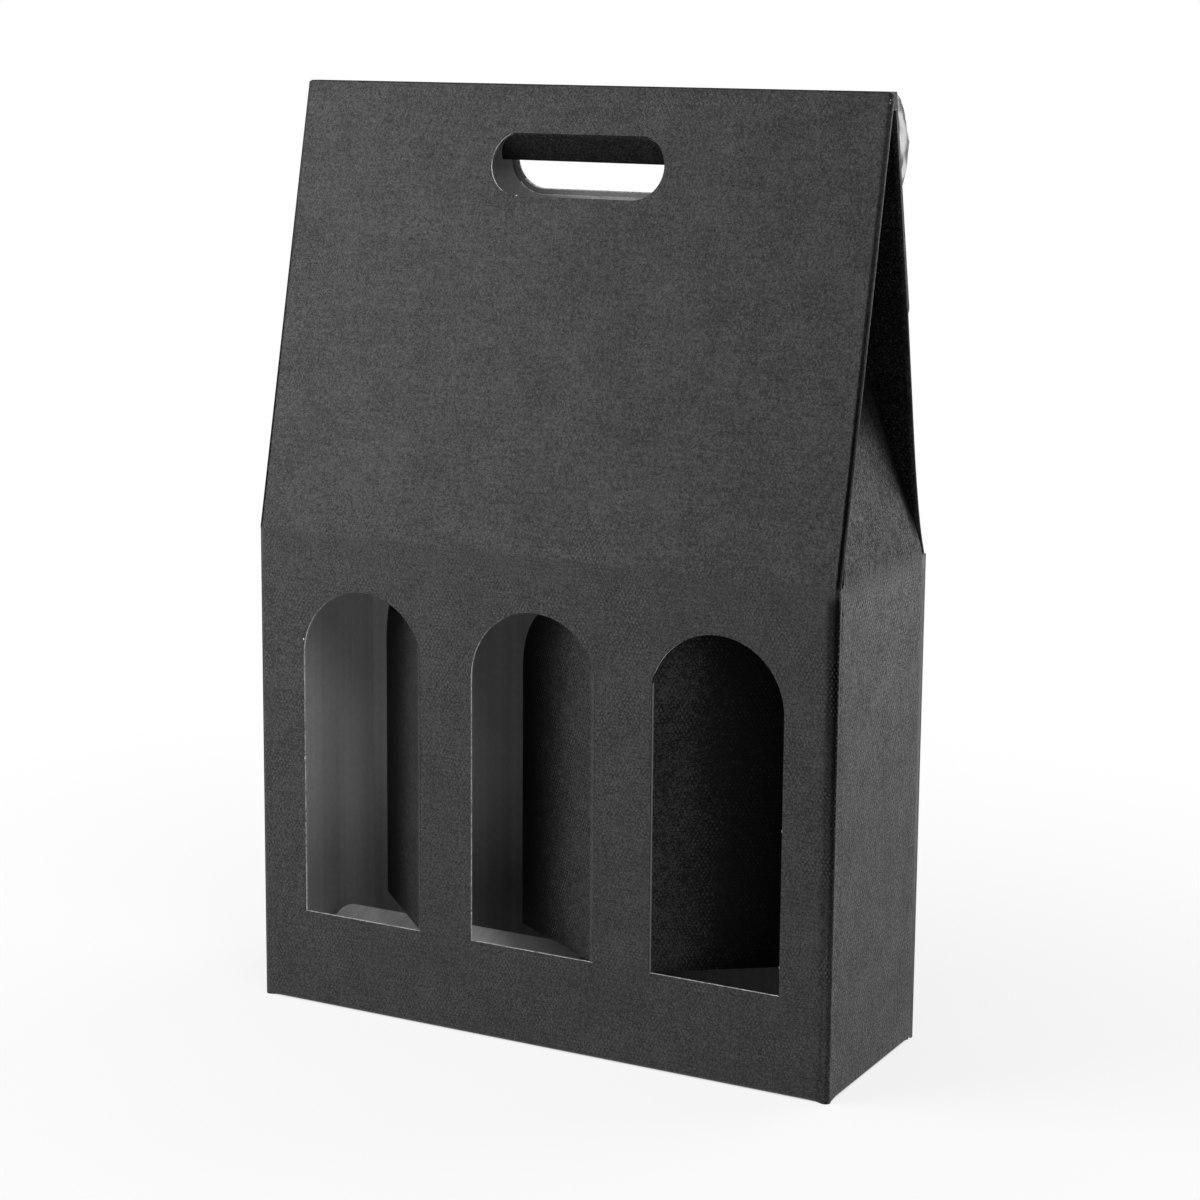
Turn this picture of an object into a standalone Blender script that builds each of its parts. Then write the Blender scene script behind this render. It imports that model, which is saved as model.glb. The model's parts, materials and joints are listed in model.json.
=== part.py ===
"""Gable-top carry carton for three wine bottles, folded from one blank of micro-flute board.

Metres, +Z up. The origin is the middle of the base, the front with its three windows faces -Y.
"""

import math

import bmesh
import bpy
import numpy as np

# Carton, outside
WIDTH = 0.262
DEPTH = 0.086
HEIGHT = 0.385
FOLD_HEIGHT = 0.2023
RIDGE_WIDTH = 0.0065

# Board, its creases and its die-cut lines
BOARD = 0.0015
CREASE_GAP = 0.0003
CUT_GAP = 0.0004
BEND_RADIUS = 0.002
FOOT_RADIUS = 0.001
FOLD_EDGE_RADIUS = 0.0009
CORNER_MITRE = math.radians(45)
BEND_STEPS = 3
KNUCKLE_STEPS = 3
KNUCKLE_SHARE = 0.98
SMOOTH_ANGLE = math.radians(30)

# Windows, as the strips of board left round them, and the flaps that are pushed in from them
WINDOW_MARGIN = 0.02165
WINDOW_POST = 0.0231
WINDOW_SILL = 0.040
WINDOW_HEAD = 0.02285
ARCH_STEPS = 24
WINDOW_FLAPS = {
    "left_window_flap": (-1, +1, math.radians(44)),
    "middle_window_flap": (0, +1, math.radians(30.5)),
    "right_window_flap": (+1, -1, math.radians(36)),
}

# Handle slot through the roof, and the half of its cut-out that stays as a flap
SLOT_LENGTH = 0.0776
SLOT_HEIGHT = 0.026
SLOT_DROP = 0.0187
SLOT_STEPS = 12
CLOSURE_SLOT_INSET = 0.0018
HANDLE_FLAP_ANGLE = math.radians(43)

# Back roof panel, which leans in from its fold: shares of the slope's length, then of the bow
BACK_BOW = 0.004
BACK_BOW_SHARES = (
    (0.0, 0.0),
    (0.03, 0.38),
    (0.07, 0.68),
    (0.12, 0.86),
    (0.20, 1.0),
    (0.28, 0.97),
    (0.40, 0.82),
    (0.52, 0.68),
    (0.68, 0.60),
    (1.0, 0.55),
)
BACK_ROOF_DROP = 0.006

# Closure flap, hooked over the ridge and down the back
CLOSURE_LENGTH = 0.090
CLOSURE_INSET = 0.0011
CLOSURE_CORNER = 0.006
CLOSURE_CORNER_STEPS = 4

# Folded-in gussets at both ends
GUSSET_SLOPE = 0.264
GUSSET_BEND = 0.018
GUSSET_BEND_STEPS = 4
GUSSET_DROP = 0.016
WEB_DROP = 0.009

# Glue flap inside the back right corner
GLUE_FLAP_WIDTH = 0.025
GLUE_FLAP_END = 0.006
GLUE_FLAP_CHAMFER = 0.008

# Self-locking base: two long flaps that interlock over two short ones
BASE_DEEP = 0.059
BASE_SHALLOW = 0.026
BASE_SIDE_CLEARANCE = 0.0025
BASE_MIDDLE_GAP = 0.002
BASE_HOOK = 0.006
BASE_CORNER = 0.005
BASE_CORNER_STEPS = 4
BASE_FLAP_RAISE = math.radians(21.5)
SIDE_FLAP_LENGTH = 0.036
SIDE_FLAP_TAPER_SHARE = 0.6

# Clear film over the closure's right end: shares of its length, then of its bulge
SEAL_LENGTH = 0.036
SEAL_WIDTH = 0.034
SEAL_DROP = 0.001
SEAL_FILM = 0.0003
SEAL_BULGE = 0.0095
SEAL_BULGE_SHARES = (
    (0.0, 0.0),
    (0.06, 0.30),
    (0.18, 0.56),
    (0.32, 0.74),
    (0.46, 0.88),
    (0.58, 1.0),
    (0.68, 0.84),
    (0.80, 0.66),
    (0.90, 0.36),
    (1.0, 0.0),
)

# Cutters run this far past the faces that they cut
OVERRUN = 0.004

# Worked out from the sizes above
HALF_BOARD = BOARD / 2
WINDOW_WIDTH = (WIDTH - 2 * WINDOW_MARGIN - 2 * WINDOW_POST) / len(WINDOW_FLAPS)
WINDOW_PITCH = WINDOW_WIDTH + WINDOW_POST
WINDOW_SPRING = FOLD_HEIGHT - WINDOW_HEAD - WINDOW_WIDTH / 2
ROOF_RISE = HEIGHT - FOLD_HEIGHT
ROOF_RUN = (DEPTH - RIDGE_WIDTH) / 2
ROOF_LEAN = math.atan2(ROOF_RUN, ROOF_RISE)
ROOF_LENGTH = math.hypot(ROOF_RUN, ROOF_RISE)
ROOF_SIN = math.sin(ROOF_LEAN)
ROOF_COS = math.cos(ROOF_LEAN)
RIDGE_AXIS = (ROOF_RISE - HALF_BOARD * (1 - ROOF_SIN)) / ROOF_COS
WEB_FACE = BOARD + CREASE_GAP
WEB_BACK = WEB_FACE + BOARD
BASE_AXIS_HEIGHT = BOARD + CREASE_GAP + HALF_BOARD
BASE_AXIS_INSET = BOARD + CUT_GAP + HALF_BOARD

BLACK = (0.047, 0.047, 0.049, 1)
INNER_GREY = (0.062, 0.062, 0.064, 1)
FILM_WHITE = (0.80, 0.81, 0.82, 1)


def clear_scene():
    for thing in list(bpy.data.objects):
        bpy.data.objects.remove(thing, do_unlink=True)


def make_material(name, color, roughness, alpha=1.0):
    material = bpy.data.materials.new(name)
    material.use_nodes = True
    shader = material.node_tree.nodes["Principled BSDF"]
    shader.inputs["Base Color"].default_value = color
    shader.inputs["Roughness"].default_value = roughness
    shader.inputs["Metallic"].default_value = 0
    shader.inputs["Alpha"].default_value = alpha
    return material


def add_empty(name, location=(0, 0, 0), rotation=(0, 0, 0), parent=None):
    empty = bpy.data.objects.new(name, None)
    bpy.context.scene.collection.objects.link(empty)
    empty.parent = parent
    empty.location = location
    empty.rotation_euler = rotation
    return empty


def add_mesh(name, mesh, material, parent, location=(0, 0, 0), rotation=(0, 0, 0)):
    piece = bpy.data.objects.new(name, mesh)
    bpy.context.scene.collection.objects.link(piece)
    piece.parent = parent
    piece.location = location
    piece.rotation_euler = rotation
    piece.active_material = material
    return piece


def finish_mesh(shape, name):
    bmesh.ops.recalc_face_normals(shape, faces=shape.faces)
    mesh = bpy.data.meshes.new(name)
    shape.to_mesh(mesh)
    shape.free()
    mesh.shade_smooth()
    mesh.set_sharp_from_angle(angle=SMOOTH_ANGLE)
    return mesh


def extruded(points, along):
    """A closed prism: one face through the points, carried along a vector."""
    shape = bmesh.new()
    face = shape.faces.new([shape.verts.new(point) for point in points])
    swept = bmesh.ops.extrude_face_region(shape, geom=[face])
    moved = [item for item in swept["geom"] if isinstance(item, bmesh.types.BMVert)]
    bmesh.ops.translate(shape, verts=moved, vec=along)
    return shape


def ladder(rows):
    """A closed sheet through rows of four corners each: outer start, outer end, inner end, inner start."""
    shape = bmesh.new()
    rings = [[shape.verts.new(corner) for corner in row] for row in rows]
    for low, high in zip(rings, rings[1:]):
        for i, corner in enumerate(low):
            after = (i + 1) % len(low)
            shape.faces.new((corner, low[after], high[after], high[i]))
    shape.faces.new(reversed(rings[0]))
    shape.faces.new(rings[-1])
    return shape


def round_edges(shape, chosen, radius, steps):
    """Rounds the edges whose two ends both answer to the chosen test."""
    edges = [edge for edge in shape.edges if all(chosen(vert.co) for vert in edge.verts)]
    bmesh.ops.bevel(shape, geom=edges, offset=radius, segments=steps, profile=0.5, affect="EDGES")


def arc(centre, radius, start, end, steps):
    angles = [start + (end - start) * i / steps for i in range(steps + 1)]
    return [(centre[0] + radius * math.cos(a), centre[1] + radius * math.sin(a)) for a in angles]


def cut(piece, cutter):
    modifier = piece.modifiers.new(cutter.name, "BOOLEAN")
    modifier.operation = "DIFFERENCE"
    modifier.solver = "EXACT"
    modifier.object = cutter


def add_cutter(name, shape, parent):
    cutter = add_mesh(name, finish_mesh(shape, name), None, parent)
    cutter.hide_render = True
    cutter.display_type = "WIRE"
    return cutter


def bend_end(end, side):
    """Outer and inner halves of a corner bend, up to its mitre. side is -1 or +1 along x."""
    centre = (side * (abs(end) - BEND_RADIUS), BEND_RADIUS)
    inner_radius = BEND_RADIUS - BOARD
    outer_stop = CORNER_MITRE - math.asin(CREASE_GAP / 2 / BEND_RADIUS)
    inner_stop = CORNER_MITRE - math.asin(CREASE_GAP / 2 / inner_radius)
    down = -math.pi / 2
    outer = arc(centre, BEND_RADIUS, down, down + side * outer_stop, BEND_STEPS)
    inner = arc(centre, inner_radius, down + side * inner_stop, down, BEND_STEPS)
    return outer, inner


def wall_outline(start, start_bends, end, end_bends):
    """A wall seen from above: its outer face on y = 0, the board inwards along +y."""
    outer_start, inner_start = [(start, 0)], [(start, BOARD)]
    if start_bends:
        outer_start, inner_start = bend_end(start, -1)
        outer_start.reverse()
        inner_start.reverse()
    outer_end, inner_end = [(end, 0)], [(end, BOARD)]
    if end_bends:
        outer_end, inner_end = bend_end(end, +1)
    return outer_start + outer_end + inner_end + inner_start


def wall(name, start, start_bends, end, end_bends, bottom=0, top=FOLD_HEIGHT - CREASE_GAP / 2):
    outline = wall_outline(start, start_bends, end, end_bends)
    shape = extruded([(x, y, bottom) for x, y in outline], (0, 0, top - bottom))
    return shape


def round_foot(shape):
    """Rolls the outer edge on which the wall stands."""
    bmesh.ops.recalc_face_normals(shape, faces=shape.faces)
    feet = []
    for edge in shape.edges:
        if any(vert.co.z != 0 for vert in edge.verts) or edge.calc_length() < BEND_RADIUS:
            continue
        if all(vert.co.y == 0 for vert in edge.verts):
            feet.append(edge)
    bmesh.ops.bevel(shape, geom=feet, offset=FOOT_RADIUS, segments=BEND_STEPS, profile=0.5, affect="EDGES")


def window_centre(place):
    return place * WINDOW_PITCH


def arched_outline(left, right, bottom, spring, steps=ARCH_STEPS):
    radius = (right - left) / 2
    crown = arc(((left + right) / 2, spring), radius, 0, math.pi, steps)
    return [(left, bottom), (right, bottom)] + crown


def window_cutter(name, place, parent):
    centre = window_centre(place)
    half = WINDOW_WIDTH / 2
    outline = arched_outline(centre - half, centre + half, WINDOW_SILL, WINDOW_SPRING)
    points = [(x, -OVERRUN, z) for x, z in outline]
    return add_cutter(name, extruded(points, (0, BOARD + 2 * OVERRUN, 0)), parent)


def add_walls(carton, board):
    """Front, back and side walls and the glue flap, each in a frame whose +y points inwards."""
    front_frame = add_empty("front_wall_frame", (0, -DEPTH / 2, 0), (0, 0, 0), carton)
    back_frame = add_empty("back_wall_frame", (0, DEPTH / 2, 0), (0, 0, math.pi), carton)
    left_frame = add_empty("left_wall_frame", (-WIDTH / 2, 0, 0), (0, 0, -math.pi / 2), carton)
    right_frame = add_empty("right_wall_frame", (WIDTH / 2, 0, 0), (0, 0, math.pi / 2), carton)
    glue_setback = BOARD + CREASE_GAP
    glue_frame = add_empty("glue_frame", (0, DEPTH / 2 - glue_setback, 0), (0, 0, math.pi), carton)

    front = wall("front_panel", -WIDTH / 2, True, WIDTH / 2, True)
    round_foot(front)
    front_panel = add_mesh("front_panel", finish_mesh(front, "front_panel"), board, front_frame)
    for name, (place, side, angle) in WINDOW_FLAPS.items():
        cut(front_panel, window_cutter(name + "_cutter", place, front_frame))

    back = wall("back_panel", -WIDTH / 2, False, WIDTH / 2, True)
    round_foot(back)
    add_mesh("back_panel", finish_mesh(back, "back_panel"), board, back_frame)

    left = wall("left_side_panel", -DEPTH / 2, True, DEPTH / 2, True)
    round_foot(left)
    add_mesh("left_side_panel", finish_mesh(left, "left_side_panel"), board, left_frame)

    right = wall("right_side_panel", -DEPTH / 2, True, DEPTH / 2 - glue_setback, True)
    round_foot(right)
    add_mesh("right_side_panel", finish_mesh(right, "right_side_panel"), board, right_frame)

    glue_end = -WIDTH / 2 + GLUE_FLAP_WIDTH
    glue_top = FOLD_HEIGHT - GLUE_FLAP_END
    glue = wall("glue_flap", -WIDTH / 2, True, glue_end, False, GLUE_FLAP_END, glue_top)
    corner_edges = []
    for edge in glue.edges:
        low, high = (vert.co for vert in edge.verts)
        if low.x == high.x and low.z == high.z and abs(low.x - glue_end) < CREASE_GAP:
            corner_edges.append(edge)
    bmesh.ops.bevel(glue, geom=corner_edges, offset=GLUE_FLAP_CHAMFER, segments=1, affect="EDGES")
    add_mesh("glue_flap", finish_mesh(glue, "glue_flap"), board, glue_frame)


def window_flap_mesh():
    """The window's cut-out, hinged along its straight left side, which is the mesh's z axis."""
    axis = CUT_GAP + HALF_BOARD
    far = WINDOW_WIDTH - CUT_GAP - axis
    middle = WINDOW_WIDTH / 2 - axis
    radius = WINDOW_WIDTH / 2 - CUT_GAP
    last_angle = math.acos((BOARD - middle) / radius)
    crown = arc((middle, WINDOW_SPRING), radius, 0, last_angle, ARCH_STEPS)
    outline = [(-HALF_BOARD, WINDOW_SILL + CUT_GAP), (far, WINDOW_SILL + CUT_GAP)] + crown
    outline += [(HALF_BOARD + CREASE_GAP, WINDOW_SPRING), (-HALF_BOARD, WINDOW_SPRING)]
    shape = extruded([(x, -HALF_BOARD, z) for x, z in outline], (0, BOARD, 0))
    round_edges(shape, lambda at: at.x < -HALF_BOARD / 2, HALF_BOARD * KNUCKLE_SHARE, KNUCKLE_STEPS)
    return finish_mesh(shape, "window_flap")


def add_window_flaps(carton, board):
    mesh = window_flap_mesh()
    hinge = WINDOW_WIDTH / 2 - CUT_GAP - HALF_BOARD
    for name, (place, side, angle) in WINDOW_FLAPS.items():
        location = (window_centre(place) + side * hinge, -DEPTH / 2 + HALF_BOARD, 0)
        turn = math.pi - angle if side > 0 else angle
        add_mesh(name, mesh, board, carton, location, (0, 0, turn))


def stadium(inset=0):
    """The slot's outline about its own middle, drawn in by inset all round."""
    radius = SLOT_HEIGHT / 2 - inset
    straight = (SLOT_LENGTH - SLOT_HEIGHT) / 2
    right = arc((straight, 0), radius, -math.pi / 2, math.pi / 2, SLOT_STEPS)
    left = arc((-straight, 0), radius, math.pi / 2, 3 * math.pi / 2, SLOT_STEPS)
    return right + left


def slot_cutter(name, parent, middle, inset=0):
    reach = BACK_BOW + BOARD + OVERRUN
    points = [(x, -OVERRUN, middle + z) for x, z in stadium(inset)]
    return add_cutter(name, extruded(points, (0, OVERRUN + reach, 0)), parent)


def half_slot_mesh():
    """The upper half of the slot's cut-out, hinged along the slot's straight top on the mesh's x axis."""
    straight = (SLOT_LENGTH - SLOT_HEIGHT) / 2
    radius = SLOT_HEIGHT / 2 - CUT_GAP
    axis = CUT_GAP + HALF_BOARD
    middle = axis - SLOT_HEIGHT / 2
    rise = math.asin((-BOARD - middle) / radius)
    right = arc((straight, middle), radius, 0, rise, SLOT_STEPS)
    left = [(-x, z) for x, z in reversed(right)]
    shoulder = -HALF_BOARD - CREASE_GAP
    top = [(straight, shoulder), (straight, HALF_BOARD), (-straight, HALF_BOARD), (-straight, shoulder)]
    shape = extruded([(x, -HALF_BOARD, z) for x, z in right + top + left], (0, BOARD, 0))
    round_edges(shape, lambda at: at.z > HALF_BOARD / 2, HALF_BOARD * KNUCKLE_SHARE, KNUCKLE_STEPS)
    return finish_mesh(shape, "handle_flap")


def back_bow(share):
    shares, bows = zip(*BACK_BOW_SHARES)
    return BACK_BOW * float(np.interp(share, shares, bows))


def bowed_heights(top):
    """Heights up the slope at which the back roof panel's surface turns, ending at top."""
    turns = [share * ROOF_LENGTH for share, bow in BACK_BOW_SHARES]
    return [height for height in turns if 0 < height < top] + [top]


def roof_foot(depth):
    """Height up the slope of a level cut just above the fold, at a depth under the outer face."""
    return (CREASE_GAP / 2 + depth * ROOF_SIN) / ROOF_COS


def add_roof(carton, board):
    front_frame = add_empty(
        "front_roof_frame", (0, -DEPTH / 2, FOLD_HEIGHT), (-ROOF_LEAN, 0, 0), carton
    )
    back_frame = add_empty(
        "back_roof_frame", (0, DEPTH / 2, FOLD_HEIGHT), (-ROOF_LEAN, 0, math.pi), carton
    )
    slot_middle = ROOF_LENGTH - SLOT_DROP - SLOT_HEIGHT / 2
    add_front_roof(front_frame, board, slot_middle)
    add_back_roof(back_frame, board, slot_middle)
    add_closure(carton, back_frame, board, slot_middle)
    return front_frame, back_frame


def add_front_roof(frame, board, slot_middle):
    """The front slope, from the fold to a round top edge on the ridge strip's axis."""
    top = arc((HALF_BOARD, RIDGE_AXIS), HALF_BOARD, 0, math.pi, 2 * KNUCKLE_STEPS)
    outline = [(0, roof_foot(0)), (BOARD, roof_foot(BOARD))] + top
    shape = extruded([(-WIDTH / 2, y, z) for y, z in outline], (WIDTH, 0, 0))
    round_roof_sides(shape, lambda at: at.y == 0)
    panel = add_mesh("front_roof_panel", finish_mesh(shape, "front_roof_panel"), board, frame)
    cut(panel, slot_cutter("front_slot_cutter", frame, slot_middle))

    hinge = (0, HALF_BOARD, ROOF_LENGTH - SLOT_DROP - CUT_GAP - HALF_BOARD)
    add_mesh("handle_flap", half_slot_mesh(), board, frame, hinge, (HANDLE_FLAP_ANGLE, 0, 0))


def round_roof_sides(shape, on_outer_face):
    """Rounds the two outer side edges, where the gusset webs fold under the slope."""
    edges = []
    for edge in shape.edges:
        ends = [vert.co for vert in edge.verts]
        upright = ends[0].x == ends[1].x and edge.calc_length() > BEND_RADIUS
        if upright and all(on_outer_face(end) for end in ends):
            edges.append(edge)
    bmesh.ops.bevel(
        shape, geom=edges, offset=FOLD_EDGE_RADIUS, segments=BEND_STEPS, profile=0.5, affect="EDGES"
    )


def add_back_roof(frame, board, slot_middle):
    """The back slope, bowed in, from the fold to a free edge under the ridge strip."""
    heights = bowed_heights(ROOF_LENGTH - BACK_ROOF_DROP)
    rows = [(0, roof_foot(0), BOARD, roof_foot(BOARD))]
    for height in heights:
        bow = back_bow(height / ROOF_LENGTH)
        rows.append((bow, height, bow + BOARD, height))
    corners = [sheet_row(-WIDTH / 2, WIDTH / 2, *row) for row in rows]
    mesh = finish_mesh(ladder(corners), "back_roof_panel")
    panel = add_mesh("back_roof_panel", mesh, board, frame)
    cut(panel, slot_cutter("back_slot_cutter", frame, slot_middle))


def add_closure(carton, frame, board, slot_middle):
    """The ridge strip and the closure flap, each with its origin on its own crease."""
    ridge_y = -DEPTH / 2 + HALF_BOARD * ROOF_COS + RIDGE_AXIS * ROOF_SIN
    clear = HALF_BOARD + CREASE_GAP
    half = WIDTH / 2 - CLOSURE_INSET
    span = -2 * ridge_y
    outline = [(clear, -HALF_BOARD), (span - clear, -HALF_BOARD)]
    outline += [(span - clear, HALF_BOARD), (clear, HALF_BOARD)]
    strip = extruded([(-half, y, z) for y, z in outline], (2 * half, 0, 0))
    mesh = finish_mesh(strip, "ridge_strip")
    add_mesh("ridge_strip", mesh, board, carton, (0, ridge_y, HEIGHT - HALF_BOARD))

    knuckle = arc((0, 0), HALF_BOARD, 0, math.pi, 2 * KNUCKLE_STEPS)
    outline = [(-HALF_BOARD, -CLOSURE_LENGTH), (HALF_BOARD, -CLOSURE_LENGTH)] + knuckle
    flap = extruded([(-half, y, z) for y, z in outline], (2 * half, 0, 0))
    lower_corners = []
    for edge in flap.edges:
        ends = [vert.co for vert in edge.verts]
        if ends[0].x == ends[1].x and all(end.z == -CLOSURE_LENGTH for end in ends):
            lower_corners.append(edge)
    bmesh.ops.bevel(
        flap,
        geom=lower_corners,
        offset=CLOSURE_CORNER,
        segments=CLOSURE_CORNER_STEPS,
        profile=0.5,
        affect="EDGES",
    )
    mesh = finish_mesh(flap, "closure_flap")
    closure = add_mesh("closure_flap", mesh, board, frame, (0, HALF_BOARD, RIDGE_AXIS))
    cut(closure, slot_cutter("closure_slot_cutter", frame, slot_middle, CLOSURE_SLOT_INSET))


def gusset_lean(level):
    """How far the gusset leans in at a level over the fold: a bend first, then a straight slope."""
    if level < GUSSET_BEND:
        return GUSSET_SLOPE * level**2 / (2 * GUSSET_BEND)
    return GUSSET_SLOPE * (level - GUSSET_BEND / 2)


def gusset_turns():
    return [GUSSET_BEND * step / GUSSET_BEND_STEPS for step in range(1, GUSSET_BEND_STEPS + 1)]


def add_webs(front_frame, back_frame, board):
    """Four triangles of the gussets, folded flat under the roof panels."""
    top = ROOF_LENGTH - WEB_DROP
    foot = (WEB_BACK * ROOF_SIN + CREASE_GAP) / ROOF_COS
    straight_heights = [foot] + [foot + turn for turn in gusset_turns()] + [top]
    bowed = [height for height in bowed_heights(top) if height > foot]
    heights = sorted(set(straight_heights + bowed))
    for end, side in (("right", +1), ("left", -1)):
        straight_rows = [web_row(side, height, WEB_FACE) for height in straight_heights]
        mesh = finish_mesh(ladder(straight_rows), end + "_front_web")
        add_mesh(end + "_front_web", mesh, board, front_frame)
        bowed_rows = []
        for height in heights:
            bowed_rows.append(web_row(-side, height, WEB_FACE + back_bow(height / ROOF_LENGTH)))
        mesh = finish_mesh(ladder(bowed_rows), end + "_back_web")
        add_mesh(end + "_back_web", mesh, board, back_frame)


def sheet_row(start, end, outer, outer_z, inner, inner_z):
    """Four corners of a sheet between start and end: its outer face's edge, then its inner face's."""
    return ((start, outer, outer_z), (end, outer, outer_z), (end, inner, inner_z), (start, inner, inner_z))


def web_row(side, height, depth):
    """Four corners of a web at a height up the slope, from the carton's end in to the gusset."""
    level = height * ROOF_COS - (depth + HALF_BOARD) * ROOF_SIN
    inner_x = side * (WIDTH / 2 - gusset_lean(max(level, 0)) - BOARD)
    start, end = sorted((inner_x, side * WIDTH / 2))
    return sheet_row(start, end, depth, height, depth + BOARD, height)


def add_gussets(carton, board):
    """The middle triangle of each gusset, leaning in between its two webs."""
    turns = [share * ROOF_LENGTH for share, bow in BACK_BOW_SHARES]
    depths = [back_bow(share) + WEB_BACK for share, bow in BACK_BOW_SHARES]
    levels = [z * ROOF_COS - y * ROOF_SIN for z, y in zip(turns, depths)]
    backs = [DEPTH / 2 - z * ROOF_SIN - y * ROOF_COS for z, y in zip(turns, depths)]
    top = ROOF_RISE - GUSSET_DROP
    between = [level for level in levels + gusset_turns() if CREASE_GAP < level < top]
    rows = []
    for level in [CREASE_GAP / 2] + sorted(between) + [top]:
        front = -DEPTH / 2 + level * ROOF_SIN / ROOF_COS + WEB_BACK / ROOF_COS + CREASE_GAP
        back = float(np.interp(level, levels, backs)) - CREASE_GAP
        slope = GUSSET_SLOPE * min(level / GUSSET_BEND, 1)
        lean = gusset_lean(level)
        rows.append((front, back, lean, lean + BOARD * math.hypot(1, slope), level))
    for end, side in (("right", +1), ("left", -1)):
        corners = []
        for front, back, outer, inner, level in rows:
            start, stop = (front, back) if side > 0 else (-back, -front)
            corners.append(sheet_row(start, stop, outer, level, inner, level))
        mesh = finish_mesh(ladder(corners), end + "_gusset")
        location = (side * WIDTH / 2, 0, FOLD_HEIGHT)
        add_mesh(end + "_gusset", mesh, board, carton, location, (0, 0, side * math.pi / 2))


def long_flap_mesh():
    """A long base flap, hinged on the mesh's x axis: deep on one half, shallow on the other."""
    end = WIDTH / 2 - BOARD - BASE_SIDE_CLEARANCE
    step = -BASE_MIDDLE_GAP / 2
    corner_centre = (-end + BASE_CORNER, BASE_DEEP - BASE_CORNER)
    corner = arc(corner_centre, BASE_CORNER, math.pi / 2, math.pi, BASE_CORNER_STEPS)
    outline = [(-end, -HALF_BOARD), (end, -HALF_BOARD), (end, 0), (end - BASE_SHALLOW, BASE_SHALLOW)]
    outline += [(step, BASE_SHALLOW), (step, BASE_DEEP - BASE_HOOK), (step - BASE_HOOK, BASE_DEEP)]
    shape = extruded([(x, y, -HALF_BOARD) for x, y in outline + corner], (0, 0, BOARD))
    round_edges(shape, lambda at: at.y < -HALF_BOARD / 2, HALF_BOARD * KNUCKLE_SHARE, KNUCKLE_STEPS)
    return finish_mesh(shape, "long_base_flap")


def short_flap_mesh():
    """A short base flap, flat on the floor: a 45 degree side where it is glued, a steeper free side."""
    wall_side = DEPTH / 2 - BOARD - CUT_GAP
    glued = wall_side - SIDE_FLAP_LENGTH
    free = -wall_side + SIDE_FLAP_LENGTH * SIDE_FLAP_TAPER_SHARE
    outline = [(0, -wall_side), (SIDE_FLAP_LENGTH, free), (SIDE_FLAP_LENGTH, glued), (0, wall_side)]
    shape = extruded([(x, y, 0) for x, y in outline], (0, 0, BOARD))
    return finish_mesh(shape, "short_base_flap")


def add_base(carton, board):
    long_flap = long_flap_mesh()
    short_flap = short_flap_mesh()
    reach = DEPTH / 2 - BASE_AXIS_INSET
    wall_face = WIDTH / 2 - BOARD - CREASE_GAP
    add_mesh("left_base_flap", short_flap, board, carton, (-wall_face, 0, 0), (0, 0, 0))
    add_mesh("right_base_flap", short_flap, board, carton, (wall_face, 0, 0), (0, 0, math.pi))
    front_axis = (0, -reach, BASE_AXIS_HEIGHT)
    back_axis = (0, reach, BASE_AXIS_HEIGHT)
    add_mesh("front_base_flap", long_flap, board, carton, front_axis, (BASE_FLAP_RAISE, 0, 0))
    add_mesh("back_base_flap", long_flap, board, carton, back_axis, (BASE_FLAP_RAISE, 0, math.pi))


def add_seal(frame, film):
    """Clear film that bulges off the closure flap at its right end."""
    start = -WIDTH / 2 + CLOSURE_INSET
    rows = []
    for along, bulge in SEAL_BULGE_SHARES:
        height = ROOF_LENGTH - SEAL_DROP - SEAL_LENGTH * along
        inner = -CREASE_GAP - SEAL_BULGE * bulge
        outer = inner - SEAL_FILM
        rows.append(sheet_row(start, start + SEAL_WIDTH, outer, height, inner, height))
    add_mesh("clear_seal", finish_mesh(ladder(rows), "clear_seal"), film, frame)


def build():
    clear_scene()
    board = make_material("black_board", BLACK, 0.75)
    inner = make_material("inner_board", INNER_GREY, 0.8)
    film = make_material("clear_film", FILM_WHITE, 0.15, alpha=0.35)
    carton = add_empty("carton")
    add_walls(carton, board)
    add_window_flaps(carton, board)
    front_frame, back_frame = add_roof(carton, board)
    add_webs(front_frame, back_frame, board)
    add_gussets(carton, board)
    add_base(carton, inner)
    add_seal(back_frame, film)
    bpy.context.view_layer.update()


build()
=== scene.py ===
"""Looks of the wine box: folded black board with a linen emboss, pale cut edges and clear film."""

import json
import math

import bmesh
import bpy
import numpy as np
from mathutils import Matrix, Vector, noise


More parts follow.
